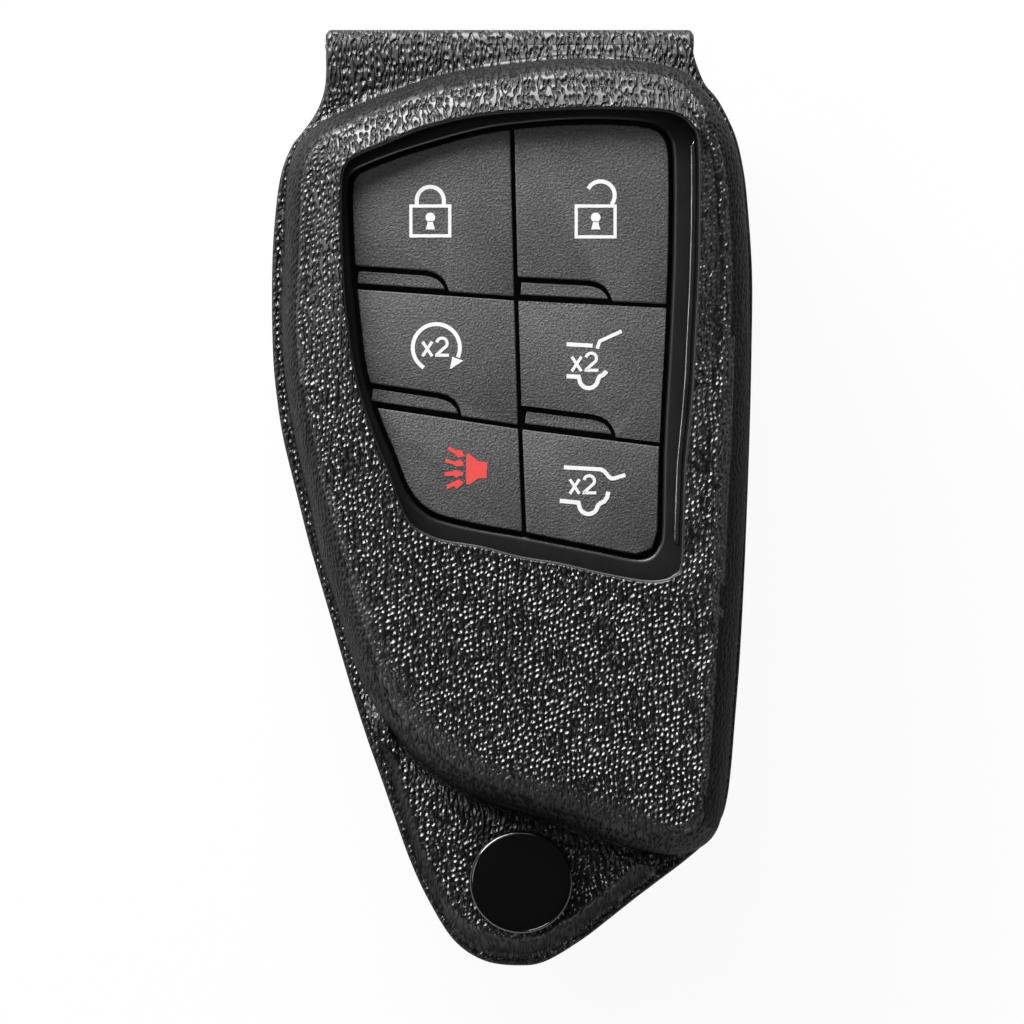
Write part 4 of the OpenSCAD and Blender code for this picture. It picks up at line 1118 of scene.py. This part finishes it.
# Name, colours, roughness, texture per metre and its depth in millimetres
PLASTICS = {
    Finish.FOB: ("fob_satin", (0.007, 0.007, 0.0072), (0.012, 0.012, 0.0124), 0.36, 4200, 0.006),
    Finish.REAR: ("rear_texture", (0.02, 0.02, 0.022), (0.035, 0.035, 0.038), 0.5, 3600, 0.014),
    Finish.BUTTON: ("button_texture", (0.032, 0.032, 0.0335), (0.145, 0.145, 0.147), 0.55, 4200, 0.15),
    Finish.MAT: ("mat_rubber", (0.07, 0.07, 0.075), (0.09, 0.09, 0.096), 0.8, 2500, 0.006),
    Finish.BOARD: ("solder_mask", (0.012, 0.09, 0.045), (0.02, 0.14, 0.07), 0.3, 1200, 0.004),
    Finish.PLUNGER: ("plunger_plastic", (0.66, 0.64, 0.58), (0.74, 0.72, 0.66), 0.6, 2500, 0.004),
    Finish.FERRITE: ("wound_ferrite", (0.1, 0.045, 0.025), (0.16, 0.08, 0.045), 0.45, 6000, 0.02),
    Finish.CHIP: ("chip_resin", (0.02, 0.02, 0.022), (0.03, 0.03, 0.033), 0.55, 5000, 0.006),
    Finish.GRIP: ("grip_plastic", (0.022, 0.022, 0.024), (0.035, 0.035, 0.037), 0.5, 3200, 0.012),
}
# Name, colour, stain, roughness, lines per metre along each axis, and their depth if not the usual one
METALS = {
    Finish.CHROME: ("bright_chrome", (0.5, 0.5, 0.5), (0.32, 0.31, 0.3), 0.2, (900, 90, 900), 0.003),
    Finish.SNAP: ("black_nickel", (0.3, 0.3, 0.31), (0.22, 0.22, 0.23), 0.26, (900, 900, 5000)),
    Finish.WIRE: ("spring_wire", (0.6, 0.6, 0.61), (0.5, 0.5, 0.52), 0.24, (2500, 2500, 2500)),
    Finish.SWITCH: ("switch_steel", (0.5, 0.5, 0.52), (0.42, 0.42, 0.43), 0.3, (3000, 500, 500)),
    Finish.CELL: ("cell_steel", (0.6, 0.61, 0.62), (0.5, 0.5, 0.5), 0.28, (4500, 350, 350)),
    Finish.BRASS: ("contact_brass", (0.7, 0.56, 0.3), (0.58, 0.43, 0.22), 0.3, (400, 3500, 400)),
    Finish.BLADE: ("blade_steel", (0.58, 0.58, 0.6), (0.5, 0.5, 0.51), 0.26, (3500, 300, 3500)),
}
# Pieces that the frame's own solids show as they are
CARRIED = {
    Finish.BOARD: ("circuit_board",),
    Finish.SWITCH: ("switch_bases",),
    Finish.PLUNGER: tuple(f"{key}_plunger" for key in KEYS),
    Finish.CELL: ("coin_cell",),
    Finish.BRASS: ("minus_contact", "plus_contact"),
    Finish.FERRITE: ("aerial_coil",),
    Finish.CHIP: ("control_chip", "radio_chip"),
    Finish.BLADE: ("key_blade",),
    Finish.GRIP: ("key_grip", "key_latch"),
}


@dataclass
class Snap:
    """The press stud: cap, socket and spring on the front, stud and rivet on the back."""

    leather: Leather
    metals: dict[Finish, Material]
    enamel: Material
    wall: float = 0.45
    cap_edge: float = 0.5
    cap_dome: float = 0.12
    bore: float = 2.1
    bulb: float = 1.8
    neck: float = 1.5
    tube_outer: float = 1.6
    tube_inner: float = 1.2
    rivet_outer: float = 1.15
    rivet_inner: float = 0.75

    def build(self) -> None:
        """Makes the five pieces."""
        self._cap()
        self._socket()
        self._spring()
        self._stud()
        self._rivet()

    def _spin(self, name: str, profile: Path, z: float, node: str, body: str) -> None:
        """Spins one of the metal pieces and dresses it."""
        piece = Pieces.turned(name, profile, middle("snap_cap"), z)
        dress(piece, self.metals[Finish.SNAP], "snap_metal", body, node)

    def _cap(self) -> None:
        """The cap: a nearly flat lid with a rounded edge, rolled under, on its tube."""
        radius, wall, edge, dome = radius_of("snap_cap"), self.wall, self.cap_edge, self.cap_dome
        base = self.leather.plateau
        tube = base - low("snap_cap").z
        outer, inner = self.tube_outer, self.tube_inner
        rise = high("snap_cap").z - base
        lid = [(radius * share / 8, rise - dome * (share / 8) ** 2) for share in range(8)]
        lid += [(radius - edge * (1 - math.sin(t)), rise - dome - edge * (1 - math.cos(t)))
                for t in np.radians(np.linspace(4, 90, 14))]
        under = [(radius, 0.2), (radius - 0.03, 0.08), (radius - 0.12, 0.02), (radius - 0.3, 0.0),
                 (radius - wall - 0.1, 0.05), (radius - wall - 0.1, 0.5),
                 (radius - 1.1, rise - wall), (outer, rise - wall), (outer, -tube), (inner, -tube),
                 (inner, rise - wall - 0.4), (0.0, rise - wall - 0.4)]
        cap = Pieces.turned("snap_cap_lid", [*lid, *under], middle("snap_cap"), base, 128)
        dress(cap, self.enamel, "cap_enamel", "front_cover", "snap_cap")

    def _socket(self) -> None:
        """The socket, with the groove for the spring in its bore."""
        foot, radius = low("snap_socket").z, radius_of("snap_socket")
        height = high("snap_socket").z - foot
        bore, wall, outer = self.bore, self.wall, self.tube_outer
        wire = middle("snap_spring").z - foot
        self._spin("snap_socket_cup", [
            (outer, height), (radius - 0.2, height), (radius, height - 0.15), (radius, height / 2 + 0.1),
            (radius - wall, height / 2 - 0.1), (radius - wall - 0.1, 0.15), (radius - wall - 0.3, 0),
            (bore + 0.3, 0), (bore + 0.12, 0.06), (bore, 0.2), (bore, wire - 0.25),
            (bore + 0.4, wire - 0.2), (bore + 0.4, wire + 0.2), (bore, wire + 0.25),
            (bore, height - wall), (outer, height - wall)], foot, "snap_socket", "front_cover")

    def _spring(self) -> None:
        """The spring wire, with the gap that lets it spread and its two ends closed."""
        centre = middle("snap_cap")
        thick = (high("snap_spring").z - low("snap_spring").z) / 2
        Pieces.clear()
        bpy.ops.mesh.primitive_torus_add(
            major_segments=96, minor_segments=12, minor_radius=thick * MM,
            major_radius=(radius_of("snap_spring") - 2.2 * thick) * MM,
            location=(centre.x * MM, centre.y * MM, middle("snap_spring").z * MM))
        spring = Pieces.place(Pieces.named("snap_spring_wire"))
        Pieces.choose(spring, lambda face: (
            face.calc_center_median().y / MM - centre.y < -1.5
            and abs(face.calc_center_median().x / MM - centre.x) < 0.35))
        bpy.ops.mesh.delete(type="FACE")
        bpy.ops.mesh.select_mode(type="EDGE")
        bpy.ops.mesh.select_all(action="DESELECT")
        bpy.ops.mesh.select_non_manifold()
        bpy.ops.mesh.fill_holes(sides=0)
        Pieces.leave()
        Pieces.tidy(spring)
        dress(spring, self.metals[Finish.WIRE], "spring_metal", "front_cover", "snap_spring")

    def _stud(self) -> None:
        """The stud with its waisted neck and bulb."""
        base, height = low("snap_stud").z, high("snap_stud").z - low("snap_stud").z
        radius, inner = radius_of("snap_stud"), self.tube_inner
        bulb, neck, wall = self.bulb, self.neck, self.wall
        self._spin("snap_stud_post", [
            (inner, 0), (radius, 0), (radius, wall * 0.35), (radius - 0.12, wall * 0.6),
            (radius - 0.5, wall * 0.9), (radius - 1.1, wall), (neck + 0.45, wall), (neck + 0.12, wall * 1.2),
            (neck, wall * 1.5), (neck, height * 0.55), (bulb - 0.06, height * 0.66), (bulb, height * 0.74),
            (bulb - 0.05, height * 0.84), (neck + 0.05, height * 0.95), (neck - 0.35, height),
            (0, height), (0, height - wall / 2), (inner, height - wall / 2)],
            base, "snap_stud", "back_cover")

    def _rivet(self) -> None:
        """The rivet behind the leather, as wide as the stud."""
        foot, radius = low("snap_rivet").z, radius_of("snap_stud")
        head = self.leather.back_under - foot
        tube = high("snap_rivet").z - foot
        outer, inner = self.rivet_outer, self.rivet_inner
        self._spin("snap_rivet_head", [
            (0, 0), (radius * 0.4, 0.0), (radius * 0.7, 0.06), (radius * 0.88, 0.18),
            (radius * 0.97, 0.36), (radius, head - 0.08), (radius - 0.08, head),
            (outer, head), (outer, tube),
            (inner, tube), (inner, head / 2), (0, head / 2)], foot, "snap_rivet", "back_cover")


@dataclass
class Icons:
    """Marks printed on the buttons, drawn as strokes and filled shapes on the photograph's pixels."""

    scale: float = 0.097
    zero: tuple[float, float] = (511.5, 497.5)
    lift: float = 0.022
    thin: float = 3
    thick: float = 4
    outline: float = 3.2
    parts: list = field(default_factory=list)

    def spot(self, pixel: Spot) -> tuple[float, float]:
        """A pixel's place in millimetres."""
        return (pixel[0] - self.zero[0]) * self.scale, (self.zero[1] - pixel[1]) * self.scale

    @staticmethod
    def arc(centre: Spot, radius: float, start: float, end: float, steps: int = 24
            ) -> list[tuple[float, float]]:
        """Pixels along an arc, with angles in degrees, 0 to the right and 90 up."""
        turns = np.radians(np.linspace(start, end, steps))
        return [(centre[0] + radius * math.cos(t), centre[1] - radius * math.sin(t)) for t in turns]

    def fill(self, *loops: Path) -> None:
        """A filled shape with holes: the first loop is its outline, in pixels."""
        curve = bpy.data.curves.new("mark", "CURVE")
        curve.dimensions = "2D"
        curve.fill_mode = "BOTH"
        curve.extrude = self.lift * MM
        for loop in loops:
            spline = curve.splines.new("POLY")
            spline.points.add(len(loop) - 1)
            for point, pixel in zip(spline.points, loop):
                point.co = (*(c * MM for c in self.spot(pixel)), 0, 1)
            spline.use_cyclic_u = True
        part = bpy.data.objects.new("mark", curve)
        bpy.context.scene.collection.objects.link(part)
        part.location.z = len(self.parts) * 1e-7
        Pieces.pick(part)
        bpy.ops.object.convert(target="MESH")
        self.parts.append(bpy.context.object)

    def stroke(self, path: Path, width: float) -> None:
        """A stroke of a width along a path of pixels, with square ends and mitred turns."""
        points = np.array(path, float)
        steps = np.diff(points, axis=0)
        steps /= np.hypot(*steps.T)[:, None]
        sides = np.stack([-steps[:, 1], steps[:, 0]], 1)
        turned = []
        for k in range(len(points)):
            before, after = sides[max(k - 1, 0)], sides[min(k, len(sides) - 1)]
            turned.append((before + after) / (1 + before @ after) * width / 2)
        turned = np.array(turned)
        self.fill([*(points + turned), *(points - turned)[::-1]])

    def twice(self, x: float, y: float) -> None:
        """The press-twice mark: a cross and a two, with its left end on x and its foot on y."""
        for start, end in (((1.2, -15), (10.8, -0.5)), ((10.8, -15), (1.2, -0.5))):
            self.stroke([(x + start[0], y + start[1]), (x + end[0], y + end[1])], self.thin)
        head = self.arc((x + 20.6, y - 13.4), 5.2, 170, -35, 18)
        self.stroke([*head, (x + 20.5, y - 6.6), (x + 16, y - 2.6), (x + 15.4, y - 1.5)], self.thin)
        self.fill([(x + 13.9, y - 3), (x + 27.6, y - 3), (x + 27.6, y), (x + 13.9, y)])

    def padlock(self, body: Spot, shackle: Path) -> None:
        """A padlock: its framed body, its keyhole and its shackle."""
        x0, y0, x1, y1 = body
        t = self.outline
        self.fill([(x0, y0), (x1, y0), (x1, y1), (x0, y1)],
                  [(x0 + t, y0 + t), (x1 - t, y0 + t), (x1 - t, y1 - t), (x0 + t, y1 - t)])
        x, y = (x0 + x1) / 2, y0 + 13
        self.fill(self.arc((x, y), 4.8, 0, 345))
        self.fill([(x - 2.2, y + 3.5), (x + 2.2, y + 3.5), (x + 4.6, y + 12), (x - 4.6, y + 12)])
        self.stroke(shackle, self.thick)

    def lock(self) -> None:
        """The closed padlock."""
        self.padlock((409, 205, 451, 238),
                     [(416.5, 205), *self.arc((430, 201), 13.5, 180, 0), (443.5, 205)])

    def unlock(self) -> None:
        """The open padlock."""
        self.padlock((574, 205, 616, 239), [*self.arc((600, 196), 14, 152, -40, 28)])

    def start(self) -> None:
        """The remote start mark: a round arrow about the press-twice mark."""
        self.stroke(self.arc((436, 348), 23.5, 238, -24, 60), self.thick)
        self.fill([(452, 357), (463, 361), (449.5, 369.5)])
        self.twice(421, 357)

    def tail(self, lid: Path, hinge: Path, x: float, y: float,
             start: Spot, wheel: Spot, hook: Path) -> None:
        """The rear of a car: its lid, its bumper line and the press-twice mark between."""
        for line in lid:
            self.stroke(line, self.thick)
        for line in hinge:
            self.stroke(line, 3.4)
        self.twice(x, y)
        wx, wy = wheel
        self.stroke([start, (wx - 10, wy - 2), *self.arc((wx, wy), 9.3, 184, 352, 16), *hook], 4.2)

    def glass(self) -> None:
        """The tailgate glass mark."""
        self.tail([[(566, 344.5), (592, 346)]], [[(596.5, 349), (599, 341.5), (621, 331.5)]], 570, 372,
                  (566, 376.5), (588, 379), [(599, 376.5), (602, 375.5), (606, 371.5)])

    def liftgate(self) -> None:
        """The liftgate mark."""
        self.tail([[(563.2, 467.3), (600, 469.4), (603.6, 471.3), (608.3, 476.7), (610.6, 478.4),
                    (613.5, 478.4), (624.6, 475)]], [], 568, 494.3, (559.1, 500.8), (587.8, 504.6),
                  [(599.5, 503.3), (603.6, 501.4), (606.4, 497.4), (607.6, 491.7)])

    def panic(self) -> None:
        """The alarm horn with its four sound strokes."""
        for loop in (
            [(466, 454), (468.2, 453.7), (477.5, 461), (487.1, 462.3), (486.1, 478.3), (477.8, 478.4),
             (469.2, 484.6), (465.7, 484.2)],
            [(447.8, 447.3), (449.7, 446.8), (455.8, 450.8), (457.4, 449.6), (459, 449.7), (462.8, 452.4),
             (463.6, 456.3), (461.9, 456.9), (457.7, 457.7), (455.8, 455.6), (454.7, 454.5), (451, 452.1),
             (447.5, 449.6)],
            [(445.4, 458.2), (449.7, 460.4), (455.8, 461.7), (457.7, 459.9), (459.3, 460.1), (463.1, 462.6),
             (463, 465.8), (456.4, 466.8), (452.3, 464.2), (445, 462.6)],
            [(444.3, 472.1), (452.9, 471.4), (456.1, 470), (459.3, 471.2), (462.8, 472.2), (462.7, 475.7),
             (459.3, 476), (456.4, 477.8), (454.2, 477), (453.9, 475.7), (444.3, 476.3)],
            [(446.4, 484.9), (455.5, 480.8), (458.4, 479.5), (462.2, 481.4), (462.8, 483.4), (457.4, 488.1),
             (455.5, 488.8), (454.8, 486.9), (453.6, 485.9), (447.5, 489), (446.2, 487.8)]):
            self.fill(loop)

    def finished(self, name: str, node: str) -> Object:
        """Joins the marks and lays them on a button's face.

        Args:
            name: The piece's name.
            node: The CAD node of the button.

        Returns:
            The joined marks.
        """
        piece = Pieces.joined(self.parts, name)
        self.parts = []
        Pieces.place(piece)
        piece.data.transform(Matrix.Translation((0, 0, high(node).z * MM)))
        return Pieces.tidy(piece, 30)


@dataclass
class Keypad:
    """The six buttons with their marks."""

    finish: Material
    white: Material
    red: Material

    def build(self) -> None:
        """Rounds each button from its CAD outline and prints its mark."""
        icons = Icons()
        for key in KEYS:
            node = f"{key}_button"
            button = Pieces.copied(node, f"{key}_cap")
            Pieces.bevel(button, 0.14, 3, 50)
            Pieces.tidy(button, 35)
            dress(button, self.finish, "button_plastic", f"{key}_key", node)
            getattr(icons, key)()
            mark = icons.finished(f"{key}_mark", node)
            dress(mark, self.red if key == "panic" else self.white, "button_plastic", f"{key}_key")


@dataclass
class Housings:
    """The fob's two housings and its bright strip."""

    plan: Plan
    leather: Leather
    plastics: dict[Finish, Material]
    chrome: Material
    clear: float = 0.3
    wall: float = 1.2
    lip: float = 0.5
    groove: float = 0.18
    hole_radius: float = 2.0
    web: float = 1.0
    web_drop: float = 0.5
    play: float = 0.2
    latch_length: float = 5.0
    latch_travel: float = 1.5
    latch_run: float = 0.2

    def build(self) -> None:
        """Makes the front housing, the rear housing and the strip."""
        self._front()
        self._rear()
        strip = Pieces.copied("trim_strip", "bright_strip")
        Pieces.bevel(strip, 0.1, 3, 50)
        Pieces.tidy(strip, 40)
        dress(strip, self.chrome, "trim_chrome", "front_cover", "trim_strip")

    def _front(self) -> None:
        """The front housing: a shell with a sunk keypad, a rounded bezel and four ledges."""
        plan, leather = self.plan, self.leather
        depth = leather.thickness + self.clear
        split, top = low("front_housing").z, high("front_housing").z
        well = plan.inset(plan.keypad, -self.play)
        web_under = high("keypad_mat").z - self.web_drop
        web_top = web_under + self.web
        step = leather.tray_step
        start = split + step
        face = plan.inset(plan.window, -self.play)
        cavity = plan.inset(plan.foot, depth + step + self.wall)
        lip = self.lip
        rings = [Ring(plan.ring(cavity, web_under)), Ring(plan.ring(cavity, split)),
                 Ring(plan.ring(plan.inset(plan.foot, depth + step), split))]
        rings += [Ring(leather.wall(90 * k / 8, depth, start, top + depth)) for k in range(9)]
        rings += [Ring(leather.crowned(face, depth, top + depth, share)) for share in (0.35, 0.7)]
        rings += [Ring(plan.ring(face, top)), Ring(plan.ring(plan.inset(well, -lip), top))]
        for k in range(1, 5):
            turn = math.pi / 2 * k / 4
            reach = plan.inset(well, -lip * (1 - math.sin(turn)))
            rings.append(Ring(plan.ring(reach, top - lip * (1 - math.cos(turn)))))
        rings.append(Ring(plan.ring(well, web_top)))
        housing = Pieces.tidy(Skin("fob_front", rings, False).piece, 35)
        Pieces.cut(housing, Pieces.copied("trim_strip", "slot"))
        for key in KEYS:
            spot = middle(f"{key}_plunger")
            hole = Pieces.drum("hole", spot, self.hole_radius, web_under - 1, web_top + 0.5)
            Pieces.cut(housing, hole)
        housing = Pieces.joined([housing, self._ledges(web_top - 0.25)], "fob_front")
        Pieces.tidy(housing, 35)
        dress(housing, self.plastics[Finish.FOB], "fob_plastic", "front_cover", "front_housing")
        housing.data.materials.append(self.plastics[Finish.BUTTON])
        for face in housing.data.polygons:
            x, y, z = face.center / MM
            away = Vector((x - plan.hub[0], y - plan.hub[1]))
            reach = np.interp(math.degrees(math.atan2(away.y, away.x)) % 360, plan.bearing % 360, well,
                              period=360)
            if web_top + 0.1 < z < top - 0.05 and away.length < reach - 0.05:
                face.material_index = 1

    def _ledges(self, foot: float) -> Object:
        """The four ledges beside the lower rows, cut from the CAD housing's own faces."""
        ledges = Pieces.copied("front_housing", "ledges")
        level = high("front_housing").z - 0.12
        Pieces.choose(ledges, lambda face: face.normal.z < 0.99 or abs(
            face.calc_center_median().z / MM - level) > 0.02)
        bpy.ops.mesh.delete(type="FACE")
        bpy.ops.mesh.select_all(action="SELECT")
        bpy.ops.mesh.extrude_region_move(
            TRANSFORM_OT_translate={"value": (0, 0, (foot - level) * MM)})
        Pieces.leave()
        Pieces.tidy(ledges)
        Pieces.bevel(ledges, 0.12, 3, 50)
        return ledges

    def _rear(self) -> None:
        """The rear housing: a tray with its joint line, and the latch's window."""
        plan, leather = self.plan, self.leather
        depth = leather.thickness + self.clear
        split = high("rear_housing").z
        floor = low("rear_housing").z
        inside = floor + self.wall
        seat = leather.back_upper
        groove = self.groove
        outer = plan.inset(plan.foot, leather.tray_step + depth)
        rings = [Ring(leather.tray(90 * k / 10, depth, seat, floor)) for k in range(10, -1, -1)]
        rings += [Ring(plan.ring(outer, split - 3 * groove)),
                  Ring(plan.ring(plan.inset(outer, groove), split - 2 * groove)),
                  Ring(plan.ring(plan.inset(outer, groove), split)),
                  Ring(plan.ring(plan.inset(outer, self.wall), split))]
        rings += [Ring(leather.tray(90 * k / 8, depth + self.wall, seat, inside)) for k in range(9)]
        housing = Pieces.tidy(Skin("fob_rear", rings, False).piece, 35)
        run = self.latch_run
        window = Pieces.bar("window", (low("key_latch").x - self.latch_travel + run,
                                       low("key_latch").y + 2 * run, floor - 1),
                            (self.latch_length + self.latch_travel - 2 * run,
                             (high("key_latch") - low("key_latch")).y - 4 * run, self.wall + 1.5))
        Pieces.cut(housing, window)
        Pieces.tidy(housing, 35)
        dress(housing, self.plastics[Finish.REAR], "rear_plastic", "front_cover", "rear_housing")


@dataclass
class Studio:
    """A pale floor, soft lights beyond the fold, weak ones beside and opposite, and the camera above."""

    width: float = 99.3
    centre: tuple[float, float] = (0.0, -1.4)
    level: float = 10.0
    lens: float = 1000.0
    seen_white: float = 0.94
    mirrored_white: float = 0.25

    def build(self) -> None:
        """Sets the floor, the lights, the surroundings and the camera."""
        self._floor()
        self._light("key_light", 116, 71, 1.0, (1.1, 0.26), 31.0)
        self._light("strip_light", 108, 44, 1.0, (0.9, 0.26), 0.9)
        self._light("side_light", 174, 50, 0.4, (0.14, 0.1), 0.2)
        self._light("fill_light", 290, 62, 1.0, (0.35, 0.16), 1.8)
        self._surroundings()
        self._camera()
        bpy.context.scene.view_settings.view_transform = "Standard"

    def _floor(self) -> None:
        """The pale floor, white to the camera and in reflections, with the object's own shadow."""
        Pieces.clear()
        bpy.ops.mesh.primitive_plane_add(size=6, location=(0, 0, -0.00002))
        floor = Pieces.place(Pieces.named("floor"))
        material = bpy.data.materials.new("pale_floor")
        w = Wiring(material)
        w.tree.nodes.clear()
        path = w.node("ShaderNodeLightPath").outputs
        mirrored = w.maths("MAXIMUM", path["Is Glossy Ray"], path["Is Transmission Ray"])
        softened = w.maths("MULTIPLY", mirrored, self.mirrored_white)
        seen = w.node("ShaderNodeMath", {0: path["Is Camera Ray"], 1: self.seen_white, 2: softened},
                      operation="MULTIPLY_ADD")
        paint = w.node("ShaderNodeBsdfDiffuse", {"Color": (0.86, 0.86, 0.86, 1)})
        glow = w.node("ShaderNodeEmission", {"Color": (1, 1, 1, 1)})
        w.veiled(seen.outputs[0], paint.outputs[0], glow.outputs[0], "ShaderNodeOutputMaterial")
        floor.data.materials.append(material)

    def _light(self, name: str, azimuth: float, lean: float, distance: float,
               size: tuple[float, float], power: float) -> None:
        """Adds a soft light.

        Args:
            name: Its name.
            azimuth: Its bearing in plan in degrees, 90 beyond the fold.
            lean: Its angle from the vertical in degrees.
            distance: Its distance in metres.
            size: Its width and height in metres.
            power: Its power in watts.
        """
        turn, tilt = math.radians(azimuth), math.radians(lean)
        away = Vector((math.cos(turn) * math.sin(tilt), math.sin(turn) * math.sin(tilt), math.cos(tilt)))
        data = bpy.data.lights.new(name, "AREA")
        data.shape = "RECTANGLE"
        data.size, data.size_y = size
        data.energy = power
        light = bpy.data.objects.new(name, data)
        light.location = away * distance
        light.rotation_euler = away.to_track_quat("Z", "Y").to_euler()
        light.visible_camera = False
        bpy.context.scene.collection.objects.link(light)

    def _surroundings(self) -> None:
        """White behind the object, and a dim room in what it reflects."""
        world = bpy.data.worlds.new("studio")
        bpy.context.scene.world = world
        w = Wiring(world)
        w.tree.nodes.clear()
        path = w.node("ShaderNodeLightPath").outputs
        room = w.node("ShaderNodeBackground", {"Color": (0.035, 0.035, 0.0355, 1)})
        white = w.node("ShaderNodeBackground", {"Color": (1, 1, 1, 1)})
        w.veiled(path["Is Camera Ray"], room.outputs[0], white.outputs[0], "ShaderNodeOutputWorld")

    def _camera(self) -> None:
        """The camera, straight above, with a long lens."""
        data = bpy.data.cameras.new("camera")
        data.lens = self.lens
        data.sensor_width = 36
        distance = self.width * MM * self.lens / data.sensor_width
        data.clip_start, data.clip_end = 0.1, 20
        camera = bpy.data.objects.new("camera", data)
        camera.location = (self.centre[0] * MM, self.centre[1] * MM, self.level * MM + distance)
        bpy.context.scene.collection.objects.link(camera)
        bpy.context.scene.camera = camera


@dataclass
class Works:
    """The soft and the wound piece of the works: the rubber mat and the latch's spring."""

    rubber: Material
    wire: Material
    turns: int = 5
    wire_d: float = 0.28
    travel: float = 0.34
    sides: int = 10
    steps_per_turn: int = 28

    def build(self) -> None:
        """Makes the mat and the coil."""
        mat = Pieces.copied("keypad_mat", "rubber_mat")
        top = high("keypad_mat").z
        Pieces.choose(mat, lambda face: face.calc_center_median().z > (top - self.travel / 2) * MM)
        bpy.ops.transform.translate(value=(0, 0, -self.travel * MM))
        Pieces.leave()
        Pieces.bevel(mat, 0.06, 2, 50)
        Pieces.tidy(mat, 40)
        dress(mat, self.rubber, "mat_rubber", "front_cover", "keypad_mat")
        coil = self._coil()
        dress(coil, self.wire, "spring_metal", "", "latch_spring")
        start, end = low("latch_spring") * MM, high("latch_spring") * MM
        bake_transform(coil, "front_cover", "latch", tuple(start), (end.x, start.y, start.z))

    def _coil(self) -> Object:
        """The coil: a round wire swept along a screw line inside the CAD spring's room."""
        start, end = low("latch_spring"), high("latch_spring")
        centre = (start + end) / 2
        reach = (end.z - start.z - self.wire_d) / 2
        steps = self.turns * self.steps_per_turn
        round_wire = np.linspace(0, 2 * math.pi, self.sides, endpoint=False)
        along, out = self.wire_d / 2 * np.cos(round_wire), self.wire_d / 2 * np.sin(round_wire)
        rings = []
        for step in range(steps + 1):
            turn = 2 * math.pi * self.turns * step / steps
            x = mix(start.x + self.wire_d / 2, end.x - self.wire_d / 2, step / steps)
            radius = reach + out
            rings.append(Ring(np.column_stack([
                x + along, centre.y + radius * math.cos(turn), centre.z + radius * math.sin(turn)])))
        return Pieces.tidy(Skin("latch_coil", rings, False).piece, 60)


def painted(name: str, colour: Triple) -> Material:
    """Printed paint on a button, slightly uneven."""
    w = Weave(name)
    uneven = w.noise(w.coordinates, 2600, 3.0, 0.6)
    shade = w.tint(w.ramp(uneven, 0.3, 0.7), colour, tuple(c * 0.93 for c in colour))
    return w.shade(Base_Color=shade, Roughness=0.5, Normal=w.bump(uneven, 0.003))


def main() -> None:
    """Builds the cover, the fob, the finishes and the studio in order."""
    logging.basicConfig(level=logging.INFO, format="%(message)s")
    plastics = {finish: MouldedPlastic(*row).make() for finish, row in PLASTICS.items()}
    metals = {finish: WornMetal(*row).make() for finish, row in METALS.items()}
    finishes = {**plastics, **metals}
    plan = Plan(8)
    leather = Leather(plan)
    stretched = PebbledLeather("stretched_leather", 1.26, True).make()
    folded = PebbledLeather("folded_leather", 1.36).make()
    leather.build(PebbledLeather().make(), (stretched, folded))
    Snap(leather, metals, GlossEnamel().make()).build()
    Housings(plan, leather, plastics, metals[Finish.CHROME]).build()
    Keypad(plastics[Finish.BUTTON], painted("white_print", (0.92, 0.92, 0.92)),
           painted("red_print", (0.85, 0.085, 0.08))).build()
    Works(plastics[Finish.MAT], metals[Finish.WIRE]).build()
    for finish, nodes in CARRIED.items():
        for node in nodes:
            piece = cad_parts[node]
            piece.data.materials.clear()
            piece.data.materials.append(finishes[finish])
            LOG.info("%s: %s", node, finishes[finish].name)
    Studio().build()


if __name__ == "__main__":
    main()
